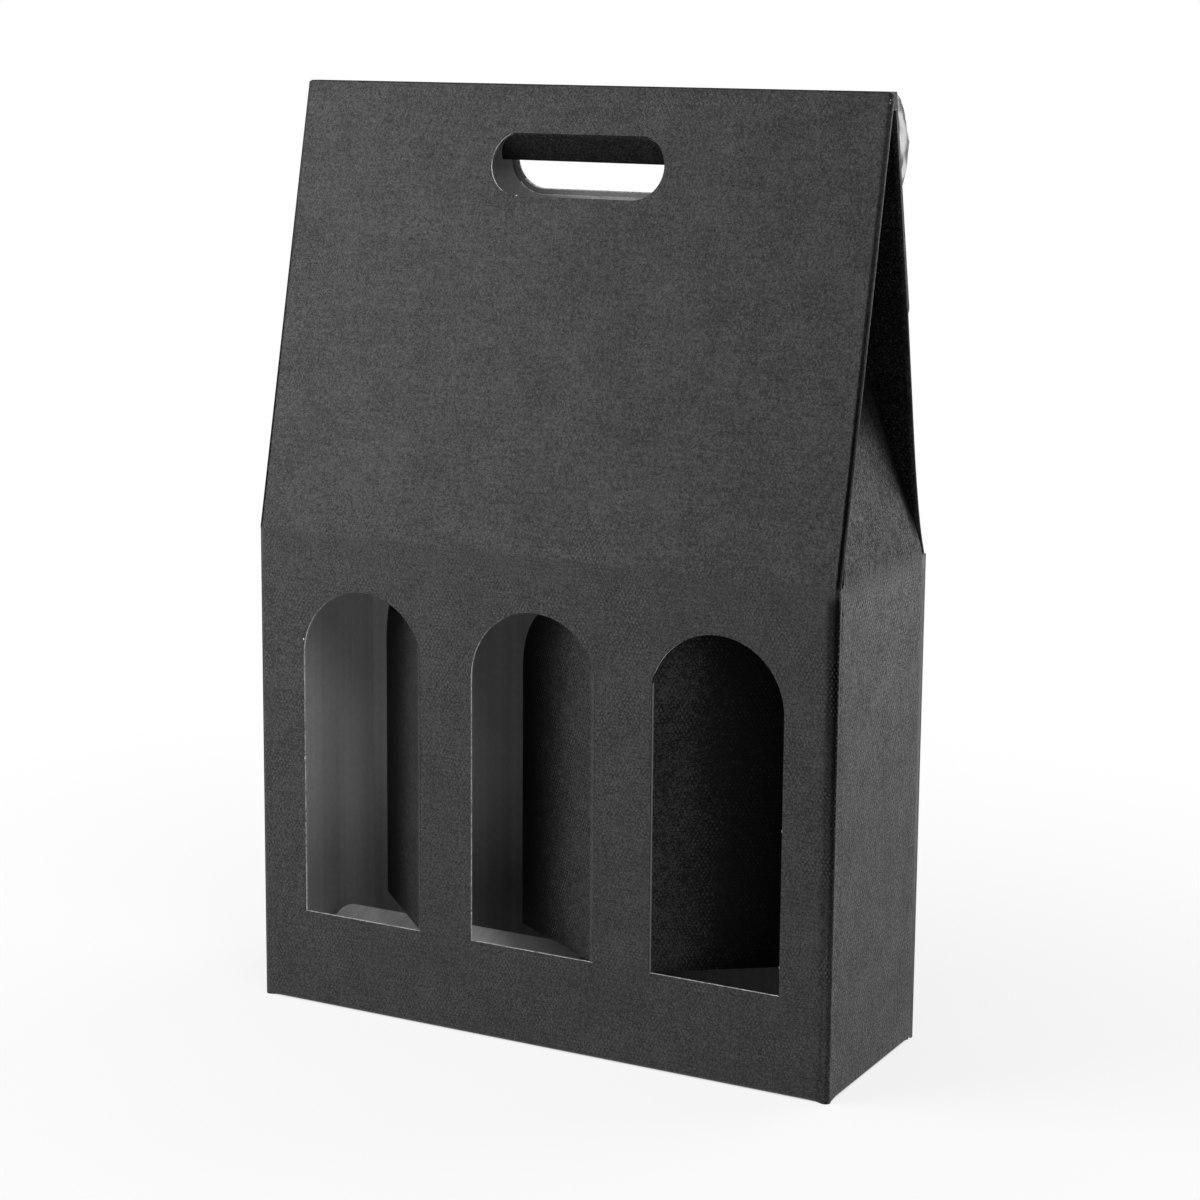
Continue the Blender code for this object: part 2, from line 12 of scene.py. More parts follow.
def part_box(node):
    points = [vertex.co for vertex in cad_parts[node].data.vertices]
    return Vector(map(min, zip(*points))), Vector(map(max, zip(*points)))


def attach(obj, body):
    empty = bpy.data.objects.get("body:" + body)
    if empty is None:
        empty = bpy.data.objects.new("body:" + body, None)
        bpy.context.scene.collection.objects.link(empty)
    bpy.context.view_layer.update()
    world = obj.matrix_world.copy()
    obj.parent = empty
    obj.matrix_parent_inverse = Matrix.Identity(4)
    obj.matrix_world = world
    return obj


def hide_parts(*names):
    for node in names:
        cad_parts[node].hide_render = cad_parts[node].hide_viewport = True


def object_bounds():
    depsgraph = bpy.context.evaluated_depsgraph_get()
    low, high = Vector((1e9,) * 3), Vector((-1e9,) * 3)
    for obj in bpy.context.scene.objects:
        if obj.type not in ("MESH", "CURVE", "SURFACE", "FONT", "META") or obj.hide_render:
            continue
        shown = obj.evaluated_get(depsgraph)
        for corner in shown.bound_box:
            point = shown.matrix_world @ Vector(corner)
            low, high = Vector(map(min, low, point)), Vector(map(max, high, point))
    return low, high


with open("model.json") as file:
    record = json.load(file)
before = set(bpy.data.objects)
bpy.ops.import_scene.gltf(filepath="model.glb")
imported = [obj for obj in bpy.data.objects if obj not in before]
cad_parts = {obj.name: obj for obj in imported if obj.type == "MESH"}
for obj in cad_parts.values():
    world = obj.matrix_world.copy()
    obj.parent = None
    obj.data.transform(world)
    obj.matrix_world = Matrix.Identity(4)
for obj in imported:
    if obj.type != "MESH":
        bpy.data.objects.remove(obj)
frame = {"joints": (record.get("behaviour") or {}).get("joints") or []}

CAD_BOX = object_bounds()
JOINTS = {joint["name"]: joint for joint in frame["joints"]}
MM = 0.001

# Sizes that the frame gives
WIDTH = CAD_BOX[1].x - CAD_BOX[0].x
DEPTH = CAD_BOX[1].y - CAD_BOX[0].y
HEIGHT = CAD_BOX[1].z
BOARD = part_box("left_base_flap")[1].z - CAD_BOX[0].z
CREASE_GAP = 0.3 * MM
FOLD_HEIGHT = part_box("right_side_panel")[1].z + CREASE_GAP / 2
WINDOW_HINGES = {
    "left_window_flap": ("left_window_crease", +1),
    "middle_window_flap": ("middle_window_crease", +1),
    "right_window_flap": ("right_window_crease", -1),
}
RIDGE_AXIS_Y = JOINTS["ridge_crease"]["pos_m"][1]

# Sizes of the blank, as the frame is built to
RIDGE_WIDTH = 6.5 * MM
CUT_GAP = 0.4 * MM
BEND_RADIUS = 2.0 * MM
FOLD_RADIUS = 1.65 * MM
CREASE_RADIUS = 2.0 * MM
WINDOW_MARGIN = 21.65 * MM
WINDOW_POST = 23.1 * MM
WINDOW_SILL = 40 * MM
WINDOW_HEAD = 22.85 * MM
WINDOW_WIDTH = (WIDTH - 2 * WINDOW_MARGIN - 2 * WINDOW_POST) / 3
WINDOW_PITCH = WINDOW_WIDTH + WINDOW_POST
WINDOW_SPRING = FOLD_HEIGHT - WINDOW_HEAD - WINDOW_WIDTH / 2
SLOT_LENGTH = 77.6 * MM
SLOT_HEIGHT = 26 * MM
SLOT_DROP = 18.7 * MM
CLOSURE_SLOT_INSET = 1.8 * MM
CLOSURE_LENGTH = 90 * MM
CLOSURE_INSET = 1.1 * MM
CLOSURE_CORNER = 6 * MM
GUSSET_SLOPE = 0.264
GUSSET_BEND = 18 * MM
GUSSET_DROP = 16 * MM
FRONT_WEB_DROP = 3.2 * MM
BACK_WEB_DROP = 6.2 * MM
BACK_BOW = 4 * MM
BACK_BOW_SMOOTHING = 0.02
BACK_BOW_SAMPLES = 9
BACK_BOW_SHARES = (
    (0.0, 0.0), (0.03, 0.38), (0.07, 0.68), (0.12, 0.86), (0.20, 1.0),
    (0.28, 0.97), (0.40, 0.82), (0.52, 0.68), (0.68, 0.60), (1.0, 0.55),
)
BACK_ROOF_DROP = 6 * MM
GLUE_FLAP_WIDTH = 25 * MM
GLUE_FLAP_END = 6 * MM
GLUE_FLAP_CHAMFER = 8 * MM
BASE_DEEP = 59 * MM
BASE_SHALLOW = 26 * MM
BASE_SIDE_CLEARANCE = 2.5 * MM
BASE_MIDDLE_GAP = 2 * MM
BASE_HOOK = 6 * MM
BASE_CORNER = 5 * MM
BASE_FLAP_RAISE = math.radians(21.5)
SIDE_FLAP_LENGTH = 36 * MM
SIDE_FLAP_TAPER_SHARE = 0.6
SEAL_LENGTH = 36 * MM
SEAL_WIDTH = 33 * MM

# Finer form than the frame has
GRID = 9 * MM
BEND_STEPS = 5
FOLD_STEPS = 10
CREASE_STEPS = 3
FOOT_STEPS = 6
FOOT_OUTLINE_STEPS = 60
GUSSET_FOOT_STEPS = 6
GUSSET_STEPS = 14
BACK_ROOF_STEPS = 40
CORNER_STEPS = 8
ARC_STEPS = 28
SHARP_ANGLE = math.radians(32)
UNDERCUT = 0.95 * MM
WEB_FOOT = 0.8 * MM
KNUCKLE_SHARES = (0, 0.3, 0.55, 0.75, 0.9, 0.97)
FOOT_CURL = math.radians(72)
FOOT_FADE = 5 * MM
WARP = 0.22 * MM
WARP_SIZE = 70 * MM
FRONT_SEED = 1.3
ROOF_SEED = 3.7
SIDE_SEED = 5.5
BACK_SEED = 9.1
FLAP_SEED = 11.3
CLOSURE_SEED = 21.9
BASE_SEED = 31.3
DENT = 0.35 * MM
DENT_WIDTH = 1.1 * MM
DENT_LINES = (0.5, 1, 1.5, 2, 3)
PRESSED_SHARE = 0.55
UPWARD_LEVEL = 0.6

# The torn ends of the nicks: their heights, radius and shape, and the ridge's worn spots in mm from its end
NICK_HEIGHTS = (51.5 * MM, 106 * MM, 157 * MM)
NICK_SIZE = 0.5 * MM
NICK_SHARE = 0.62
NICK_JITTER = 0.15
NICK_STRETCH = 2.0
NICK_INSET = 0.8
# The torn ends of the nicks: their heights, radius and shape, and the pale spots at the ridge's end, painted
# highlights of the film there, in mm from its end
FILM_GLINT_SPOTS = ((0.9, 3.1), (1.6, 2.2), (2.6, 2.6), (1.0, 4.2), (3.6, 1.9))

# The clear film: its bulge along its length, and its crumples' height, two sizes each way, and place
FILM_BULGE = (
    (0, 0), (0.06, 0.30), (0.18, 0.56), (0.32, 0.74), (0.46, 0.88),
    (0.58, 1), (0.68, 0.84), (0.80, 0.66), (0.90, 0.36), (1, 0),
)
FILM_COLUMNS = 44
FILM_ROWS = 60
FILM_THICKNESS = 0.2 * MM
FILM_REACH = 8.6 * MM
FILM_CRUMPLE = 0.8 * MM
FILM_CRUMPLES = ((0.9, 5, 6, 2.0), (0.45, 13, 15, 5.0))
FILM_CRUMPLE_FADE = 0.7
FILM_FAR_LIFT = 0.45
FILM_NEAR_SHARE = 0.9
FILM_STANDOFF = 0.35 * MM
FILM_TOP_DROP = 1.2 * MM
FILM_LENGTH_SHARE = 0.97

# Places in a sheet's list of materials, and in a vector
OUTER, INNER, EDGE, TUCKED_IN_SHADE, UPWARD = range(5)
X, Y, Z = range(3)

# Surface. A noise is its scale, detail and roughness
EMBOSS_ROW = 1.47 * MM
BOARD_TONES = ((0.40, (0.001, 0.001, 0.001)), (0.50, (0.009, 0.009, 0.0095)), (0.62, (0.030, 0.030, 0.031)))
BOARD_SHEENS = ((0.40, (0.60, 0.60, 0.60)), (0.50, (0.88, 0.88, 0.88)), (0.60, (1, 1, 1)))
# Dark colour of the corner band (part crushing, part painted shade) and of the painted shade by folds and in
# gussets
CRUSHED_AND_SHADED = (0.002, 0.002, 0.002, 1)
CRUSH_AND_SHADE_WIDTH = 6.4 * MM
SIDE_CRUSH_AND_SHADE_WIDTH = 2.6 * MM
BOARD_ROUGHNESS = 0.56
GUSSET_SHADE_WIDTH = 9 * MM
# Paler colour of the line along a crease: part wear, part painted highlight
WEAR_AND_HIGHLIGHT = (0.16, 0.16, 0.16, 1)
LINER_BODY = (0.50, 0.50, 0.505)
LINER_STREAK = (0.40, 0.40, 0.405)
# The base flaps' liner is a lighter copy of the liner: painted light, where light falls in through the
# windows
BASE_LIT_BODY = (0.82, 0.82, 0.825)
BASE_LIT_STREAK = (0.68, 0.68, 0.685)
# The closure flap's inside is a darker copy of the liner: painted shade under the ridge
CLOSURE_SHADED_BODY = (0.34, 0.34, 0.34)
CLOSURE_SHADED_STREAK = (0.26, 0.26, 0.26)
BLACK = (0, 0, 0, 1)
WHITE = (1, 1, 1, 1)
MOTTLE = (700, 3, 0.6)
CLOUDS = (55, 3, 0.6)
GRAIN = (1800, 1, 0.5)
THREADS = (950, 2, 0.5)
THREAD_STRETCHES = ((1, 1, 0.1), (0.1, 1, 1))
TONE_SHARES = (0.34, 0.14, 0.52)
EMBOSS_TONE = 0.06
EMBOSS_SHAKE = 2.4
EMBOSS_SHAKE_SCALES = (230, 190)
ROOF_EMBOSS = 0.45
RAGGED = 1.4 * MM
# The corner band, part crushing and part painted shade, fades towards the floor
CRUSH_AND_SHADE_FADE = 25 * MM
CRUSH_AND_SHADE_AT_FOOT = 0.22
BOARD_BUMP = 0.11 * MM
GUSSET_DARK_FROM = 0.17
GUSSET_DARK_TO = 0.39
GUSSET_DARKEST = 0.94
GUSSET_FOOT_SHADE = 0.30
GUSSET_FOOT_FADE = 6 * MM
GUSSET_SHADE_RISE = 16 * MM
GUSSET_SHADE_SHARE = 0.95
FILM_STRETCH = (4.5, 1.5, 0.6)
FILM_FOLDS = (105, 2, 0.5)
# The film's grey tones, near white where its folds take painted highlights
FILM_TONES_AND_HIGHLIGHTS = ((0.38, (0.20, 0.20, 0.205)), (0.49, (0.42, 0.42, 0.43)), (0.58, (0.96, 0.97, 0.98)))
FILM_ALPHA = (0.40, 0.62, 0.66, 0.34)
FILM_BUMP = 0.8 * MM
EDGE_TONES = ((0.40, 0.16), (0.50, 0.55), (0.62, 0.88))

# Floor: its half width, colour and gap under the box, and how white it shows itself from near to far
FLOOR_SIZE = 6
FLOOR_COLOR = (0.93, 0.93, 0.93, 1)
FLOOR_GAP = 0.1 * MM
FLOOR_NEAR = 0.12
FLOOR_FAR = 0.60
FLOOR_NEAR_WHITE = 0.78
FLOOR_EDGE = 3 * MM

# Camera: lens, sensor and place as fitted to the photograph, angles in degrees
CAMERA_LENS = 85.913
CAMERA_SENSOR = 36
CAMERA_SHIFT = -0.06
CAMERA_PLACE = (0.54538, -1.00774, 0.41245)
CAMERA_ANGLES = (79.8444, -0.4452, 28.2127)

# Light: each soft box's azimuth from the front, height angle and distance, its size, and its brightness
WORLD_LEVEL = 0.10
SOFT_BOXES = (
    ("left_soft_box", (-53, 11, 1.15), (1.0, 1.6), 4.1),
    ("right_soft_box", (146, 10, 1.6), (1.3, 1.6), 3.2),
    ("front_soft_box", (52, 30, 1.9), (0.9, 0.9), 4.2),
    ("top_soft_box", (-10, 80, 1.7), (1.6, 1.6), 0.6),
)

# Worked out
HALF_BOARD = BOARD / 2
ROOF_RISE = HEIGHT - FOLD_HEIGHT
ROOF_RUN = (DEPTH - RIDGE_WIDTH) / 2
ROOF_LEAN = math.atan2(ROOF_RUN, ROOF_RISE)
ROOF_LENGTH = math.hypot(ROOF_RUN, ROOF_RISE)
ROOF_SIN = math.sin(ROOF_LEAN)
ROOF_COS = math.cos(ROOF_LEAN)
RIDGE_AXIS = (ROOF_RISE - HALF_BOARD * (1 - ROOF_SIN)) / ROOF_COS
WEB_BACK = 2 * BOARD + CREASE_GAP
SLOT_MIDDLE = ROOF_LENGTH - SLOT_DROP - SLOT_HEIGHT / 2
SLOT_STRAIGHT = (SLOT_LENGTH - SLOT_HEIGHT) / 2
HANDLE_AXIS = ROOF_LENGTH - SLOT_DROP - CUT_GAP - HALF_BOARD
QUARTER = math.pi / 2
EIGHTH = math.pi / 4
MITRE = BEND_RADIUS * EIGHTH
ROUND_END = HALF_BOARD * 0.985
WALL_END = WIDTH / 2 - BEND_RADIUS + MITRE
FOLD_START = WIDTH / 2 - FOLD_RADIUS
CREASE_START = FOLD_HEIGHT - CREASE_RADIUS * math.tan(ROOF_LEAN / 2)
ROOF_END = FOLD_HEIGHT + ROOF_LENGTH


def rest_angle(joint):
    """How far a flap stands open at rest, from the joint's closed end."""
    return -math.radians(JOINTS[joint]["range_deg"][0])


def arc(centre, radius, start, end, steps=ARC_STEPS):
    angles = steps_between(start, end, steps)
    return [(centre[X] + radius * math.cos(a), centre[Y] + radius * math.sin(a)) for a in angles]


def mirrored(outline):
    return [(-u, v) for u, v in reversed(outline)]


def steps_between(start, end, count):
    return [start + (end - start) * i / count for i in range(count + 1)]


def grid_lines(low, high):
    count = max(1, round((high - low) / GRID))
    return steps_between(low, high, count)[1:-1]


def smooth_share(value, low, high):
    share = min(max((value - low) / (high - low), 0), 1)
    return share * share * (3 - 2 * share)


def eased(away):
    """0 at a line and 1 from one step of the grid away from it."""
    return smooth_share(away, 0, GRID)


def warp(u, v, seed):
    """The slight unevenness of a board panel, 0 to 1."""
    return 0.5 + 0.5 * noise.noise((u / WARP_SIZE, v / WARP_SIZE, seed))


# Sheets: a flat outline with holes, cut along lines, then placed as an outer and an inner face


def flat_mesh(loops, u_lines, v_lines):
    flat = bmesh.new()
    edges = []
    for loop in loops:
        corners = [flat.verts.new((u, v, 0)) for u, v in loop]
        for corner, after in zip(corners, corners[1:] + corners[:1]):
            edges.append(flat.edges.new((corner, after)))
    bmesh.ops.triangle_fill(flat, use_beauty=True, edges=edges)
    for axis, lines in ((X, u_lines), (Y, v_lines)):
        for line in lines:
            at, along = Vector(), Vector()
            at[axis], along[axis] = line, 1
            geometry = flat.verts[:] + flat.edges[:] + flat.faces[:]
            bmesh.ops.bisect_plane(flat, geom=geometry, dist=CREASE_GAP / 100, plane_co=at, plane_no=along)
    flat.verts.index_update()
    return flat


def finished_mesh(shape):
    mesh = bpy.data.meshes.new("mesh")
    shape.to_mesh(mesh)
    shape.free()
    return mesh


def new_object(name, data):
    data.name = name
    made = bpy.data.objects.new(name, data)
    bpy.context.scene.collection.objects.link(made)
    return made


def sheet_mesh(loops, u_lines, v_lines, place, thickness=BOARD, joined=None, tucked_in_shade=None, upward=False):
    """A closed sheet. place(u, v, depth) gives the point at a depth under the outer face.

    joined says which edges go on into another panel, and tucked_in_shade which faces lie in the dark of a
    fold and take a darker board as painted shade. A cut edge of a joined sheet is pressed thinner by the
    blade. upward gives the cut edges that face up a look of their own: lit, while the other cut edges may
    take a darker copy as painted shade.
    """
    flat = flat_mesh(loops, u_lines, v_lines)
    shape = bmesh.new()
    outer, inner = [], []
    for vert in flat.verts:
        u, v = vert.co.x, vert.co.y
        pressed = joined and vert.is_boundary and not joined(u, v)
        outer.append(shape.verts.new(place(u, v, 0)))
        inner.append(shape.verts.new(place(u, v, thickness * (PRESSED_SHARE if pressed else 1))))
    for face in flat.faces:
        corners = [vert.index for vert in face.verts]
        centre = face.calc_center_median()
        hidden = tucked_in_shade and tucked_in_shade(centre.x, centre.y)
        shape.faces.new([outer[i] for i in corners]).material_index = TUCKED_IN_SHADE if hidden else OUTER
        shape.faces.new([inner[i] for i in reversed(corners)]).material_index = INNER
    for edge in flat.edges:
        if not edge.is_boundary:
            continue
        a, b = (vert.index for vert in edge.verts)
        middle = (edge.verts[0].co + edge.verts[1].co) / 2
        goes_on = joined and joined(middle.x, middle.y)
        face = shape.faces.new((outer[a], outer[b], inner[b], inner[a]))
        face.material_index = OUTER if goes_on else EDGE
    flat.free()
    bmesh.ops.recalc_face_normals(shape, faces=shape.faces)
    for face in shape.faces:
        # Upward cut edges keep the pale look, as lit; the rest may take a darker copy, painted shade.
        if upward and face.material_index == EDGE and face.normal.z > UPWARD_LEVEL:
            face.material_index = UPWARD
    mesh = finished_mesh(shape)
    mesh.shade_smooth()
    mesh.set_sharp_from_angle(angle=SHARP_ANGLE)
    return mesh


def roof_joined(u, v):
    """Whether an edge of a front or back board goes on into a side board."""
    return abs(u) > WIDTH / 2 - MM and v < ROOF_END - GRID


def roof_tucked(u, v):
    """Whether a face of a roof panel's sheet is on a web, in the gable's fold, which takes painted shade."""
    return v > FOLD_HEIGHT and abs(u) > WIDTH / 2 + FOLD_RADIUS


def add_piece(name, mesh, materials, body, nodes, location=(0, 0, 0), rotation=(0, 0, 0)):
    piece = new_object(name, mesh)
    piece.location = location
    piece.rotation_euler = rotation
    for material in materials:
        mesh.materials.append(material)
    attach(piece, body)
    if nodes:
        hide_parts(*nodes)


def wall_bend(u, depth, end):
    """A wall's place past its flat part: a bend of a quarter turn, then straight inwards."""
    side, start = math.copysign(1, u), end - BEND_RADIUS
    past = abs(u) - start
    if past <= 0:
        return u, depth
    angle = min(past / BEND_RADIUS, QUARTER)
    straight = max(past - BEND_RADIUS * QUARTER, 0)
    x = start + (BEND_RADIUS - depth) * math.sin(angle)
    return side * x, BEND_RADIUS - (BEND_RADIUS - depth) * math.cos(angle) + straight


def edge_fold(u, depth):
    """A roof panel's place past its flat part: folded back flat on itself."""
    side, past = math.copysign(1, u), abs(u) - FOLD_START
    if past <= 0:
        return u, depth
    angle = min(past / FOLD_RADIUS, math.pi)
    straight = max(past - FOLD_RADIUS * math.pi, 0)
    x = FOLD_START + (FOLD_RADIUS - depth) * math.sin(angle) - straight
    return side * x, FOLD_RADIUS - (FOLD_RADIUS - depth) * math.cos(angle)


def foot(u, v, depth, end):
    """The lower edge curls in towards the base, but not at the corners."""
    share = min((BEND_RADIUS - v) / (BEND_RADIUS - foot_edge(u, end)), 1)
    if share <= 0:
        return depth, v
    fade = foot_fade(u, end)
    angle = share * FOOT_CURL
    curled_y = BEND_RADIUS - (BEND_RADIUS - depth) * math.cos(angle)
    curled_z = BEND_RADIUS - (BEND_RADIUS - depth) * math.sin(angle)
    straight_z = BEND_RADIUS * (1 - share)
    return depth + (curled_y - depth) * fade, straight_z + (curled_z - straight_z) * fade


def foot_fade(u, end):
    return smooth_share(end - BEND_RADIUS - abs(u), 0, FOOT_FADE)


def foot_edge(u, end):
    return foot_fade(u, end) * BEND_RADIUS * (1 - FOOT_CURL)


def corner_dent(u, v, end):
    """The crushed line beside a corner's crease, 0 to 1."""
    away = (abs(u) - (end - BEND_RADIUS - DENT_WIDTH)) / DENT_WIDTH
    return math.exp(-away * away) * eased(FOLD_HEIGHT - v)


def slope_place(x, inward, v):
    """A place on a wall, and past the fold on the roof over it, in the wall's frame."""
    angle = min(max((v - CREASE_START) / CREASE_RADIUS, 0), ROOF_LEAN)
    straight = max(v - CREASE_START - CREASE_RADIUS * ROOF_LEAN, 0)
    low = min(v, CREASE_START)
    y = CREASE_RADIUS * (1 - math.cos(angle)) + straight * ROOF_SIN
    z = low + CREASE_RADIUS * math.sin(angle) + straight * ROOF_COS
    return x, y + inward * math.cos(angle), z - inward * math.sin(angle)


def back_bow(height):
    """The back roof panel's bow at a height up the slope, through the frame's turns without corners."""
    shares, bows = (np.array(column) for column in zip(*BACK_BOW_SHARES))
    share = height / ROOF_LENGTH
    spread = np.linspace(-1, 1, BACK_BOW_SAMPLES) * BACK_BOW_SMOOTHING
    return BACK_BOW * float(np.mean(np.interp(np.clip(share + spread, 0, 1), shares, bows)))


def gusset_lean(level):
    if level < GUSSET_BEND:
        return GUSSET_SLOPE * max(level, 0) ** 2 / (2 * GUSSET_BEND)
    return GUSSET_SLOPE * (level - GUSSET_BEND / 2)


def rounded_end(at, axis, depth):
    """A sheet's depth near a round end of its own thickness that starts at axis."""
    share = min(max((at - axis) / HALF_BOARD, 0), 1)
    return HALF_BOARD + (depth - HALF_BOARD) * math.sqrt(1 - share * share)


def knuckle_lines(axis):
    return [axis + HALF_BOARD * share for share in KNUCKLE_SHARES]


def web_edge(height):
    """A web's inner edge in the flat, at a height up the slope."""
    level = height * ROOF_COS - (WEB_BACK - HALF_BOARD) * ROOF_SIN
    return FOLD_START + FOLD_RADIUS * math.pi + gusset_lean(level) + BOARD - FOLD_RADIUS


def roof_outline(top, web_drop):
    """The right half of a roof panel with its web, from the fold's end up to the middle of the top."""
    outline = [(FOLD_START + FOLD_RADIUS * EIGHTH, FOLD_HEIGHT + WEB_FOOT / 2)]
    for height in steps_between(WEB_FOOT, GUSSET_BEND, GUSSET_FOOT_STEPS) + [ROOF_LENGTH - web_drop]:
        outline.append((web_edge(height), FOLD_HEIGHT + height))
    outline += [(WIDTH / 2, ROOF_END - web_drop + CREASE_GAP), (WIDTH / 2, FOLD_HEIGHT + top - HALF_BOARD)]
    return outline + [(WIDTH / 2 - GRID / 2, FOLD_HEIGHT + top)]


def foot_outline(left, right, end):
    """The lower edge of a wall, from left to right."""
    between = [u for u in steps_between(-end, end, FOOT_OUTLINE_STEPS) if left < u < right]
    return [(u, foot_edge(u, end)) for u in [left] + between + [right]]


def bend_lines(end, last=EIGHTH, steps=BEND_STEPS):
    return [end - BEND_RADIUS + BEND_RADIUS * last * i / steps for i in range(steps)]


def fold_lines():
    return [FOLD_START + FOLD_RADIUS * math.pi * i / FOLD_STEPS for i in range(FOLD_STEPS + 1)]


def crease_lines():
    return [CREASE_START + CREASE_RADIUS * ROOF_LEAN * i / CREASE_STEPS for i in range(CREASE_STEPS + 1)]


def foot_lines():
    return [BEND_RADIUS * (1 - FOOT_CURL * (1 - i / FOOT_STEPS)) for i in range(1, FOOT_STEPS + 1)]


def both_sides(lines):
    return sorted(list(lines) + [-line for line in lines])


def board_lines():
    """The upright lines along which a front or back board is cut, and the level ones of its wall."""
    upright = both_sides(bend_lines(WIDTH / 2) + fold_lines()) + grid_lines(-WIDTH / 2, WIDTH / 2)
    return upright, foot_lines() + crease_lines() + grid_lines(0, FOLD_HEIGHT)


def window_loop(place, side):
    """A window's outline. Its hinge side runs over the flap's crease, just inside the cut line."""
    centre = place * WINDOW_PITCH
    half = WINDOW_WIDTH / 2
    inner = half - CUT_GAP - HALF_BOARD
    crown = arc((centre, WINDOW_SPRING), half, math.acos(inner / half), math.pi)
    loop = [(centre - half, WINDOW_SILL), (centre + inner, WINDOW_SILL)] + crown
    return loop if side > 0 else [(2 * centre - u, v) for u, v in reversed(loop)]


def stadium(middle, inset=0, top=math.inf):
    """A slot's outline, cut off level with top."""
    radius = SLOT_HEIGHT / 2 - inset
    end = math.asin(min((top - middle) / radius, 1))
    right = arc((SLOT_STRAIGHT, middle), radius, -QUARTER, end)
    return right + mirrored(right)


def add_front(materials):
    """Front wall, its roof panel and the two webs: one sheet."""
    hinges, windows = {}, []
    for place, (joint, side) in zip((-1, 0, 1), WINDOW_HINGES.values()):
        windows.append(window_loop(place, side))
        hinges[round(JOINTS[joint]["pos_m"][0], 5)] = side
    hinge_v = FOLD_HEIGHT + HANDLE_AXIS
    slot = stadium(FOLD_HEIGHT + SLOT_MIDDLE, 0, hinge_v)
    hinge_end = max(u for u, v in slot if v > hinge_v - CREASE_GAP)
    right = [(WALL_END, FOLD_HEIGHT)] + roof_outline(RIDGE_AXIS + ROUND_END, FRONT_WEB_DROP)
    outline = foot_outline(-WALL_END, WALL_END, WIDTH / 2) + right + mirrored(right)

    def place(u, v, depth):
        if depth and WINDOW_SILL - MM < v < WINDOW_SPRING + WINDOW_WIDTH / 3:
            u += UNDERCUT * hinges.get(round(u, 5), 0)
        if depth and abs(v - hinge_v) < CREASE_GAP / 10 and abs(u) < hinge_end - CREASE_GAP:
            v += UNDERCUT
        if v > FOLD_HEIGHT:
            x, inward = edge_fold(u, depth)
            if abs(u) < FOLD_START:
                inward = rounded_end(v, FOLD_HEIGHT + RIDGE_AXIS, inward)
            fade = eased(v - FOLD_HEIGHT) * eased(ROOF_END - v) * eased(WIDTH / 2 - abs(u))
            inward += WARP * fade * warp(u, v, ROOF_SEED)
            return slope_place(x, inward, v)
        inward, z = foot(u, v, depth, WIDTH / 2)
        inward += DENT * corner_dent(u, v, WIDTH / 2) * eased(v) * (u > 0)
        inward += WARP * eased(FOLD_HEIGHT - v) * eased(v) * warp(u, v, FRONT_SEED)
        x, inward = wall_bend(u, inward, WIDTH / 2)
        return slope_place(x, inward, z)

    u_lines, v_lines = board_lines()
    u_lines += both_sides([WIDTH / 2 - BEND_RADIUS - DENT_WIDTH * k for k in DENT_LINES])
    v_lines += grid_lines(FOLD_HEIGHT, ROOF_END) + knuckle_lines(FOLD_HEIGHT + RIDGE_AXIS)
    loops = [outline] + windows + [slot]
    mesh = sheet_mesh(loops, u_lines, v_lines, place, BOARD, roof_joined, roof_tucked)
    nodes = ("front_panel", "front_roof_panel", "left_front_web", "right_front_web")
    add_piece("front_board", mesh, materials, "carton", nodes, (0, -DEPTH / 2, 0))


def add_back(materials):
    """Back wall with a raw edge at the right corner, its bowed roof panel and the two webs: one sheet."""
    roof = roof_outline(ROOF_LENGTH - BACK_ROOF_DROP, BACK_WEB_DROP)
    outline = foot_outline(-WIDTH / 2, WALL_END, WIDTH / 2) + [(WALL_END, FOLD_HEIGHT)] + roof
    outline += mirrored(roof) + [(-WIDTH / 2, FOLD_HEIGHT)]

    def place(u, v, depth):
        if v > FOLD_HEIGHT:
            x, inward = edge_fold(u, depth)
            return slope_place(x, inward + back_bow(v - FOLD_HEIGHT), v)
        inward, z = foot(u, v, depth, WIDTH / 2)
        fade = eased(FOLD_HEIGHT - v) * eased(v) * eased(WIDTH / 2 - abs(u))
        inward += WARP * fade * warp(u, v, BACK_SEED)
        x, inward = wall_bend(u, inward, WIDTH / 2) if u > 0 else (u, inward)
        return slope_place(x, inward, z)

    u_lines, v_lines = board_lines()
    v_lines += steps_between(FOLD_HEIGHT, ROOF_END, BACK_ROOF_STEPS)[1:-1]
    loops = [outline, stadium(FOLD_HEIGHT + SLOT_MIDDLE)]
    mesh = sheet_mesh(loops, u_lines, v_lines, place, BOARD, roof_joined, roof_tucked, True)
    nodes = ("back_panel", "back_roof_panel", "left_back_web", "right_back_web")
    add_piece("back_board", mesh, materials, "carton", nodes, (0, DEPTH / 2, 0), (0, 0, math.pi))


def gusset_edges(level):
    """Where a gusset meets its front and back webs, along the carton's depth."""
    height = level / ROOF_COS
    front = -DEPTH / 2 + level * ROOF_SIN / ROOF_COS + WEB_BACK / ROOF_COS
    back = DEPTH / 2 - level * ROOF_SIN / ROOF_COS - (WEB_BACK + back_bow(height)) / ROOF_COS
    return front + CREASE_GAP / 3, back - CREASE_GAP


def glue_flap_outline(start, end):
    """The glue flap's free edge, from the corner's start round its end and up to the fold."""
    low, high = GLUE_FLAP_END, FOLD_HEIGHT - GLUE_FLAP_END
    cut = end - GLUE_FLAP_CHAMFER
    sides = [(end, low + GLUE_FLAP_CHAMFER), (end, high - GLUE_FLAP_CHAMFER)]
    return [(start, low), (cut, low)] + sides + [(cut, high), (start, high), (start, FOLD_HEIGHT)]


def gusset_levels():
    """Heights over the fold at which a gusset is cut."""
    high = steps_between(GUSSET_BEND, ROOF_RISE - GUSSET_DROP, GUSSET_STEPS)
    return steps_between(0, GUSSET_BEND, GUSSET_FOOT_STEPS) + high[1:]


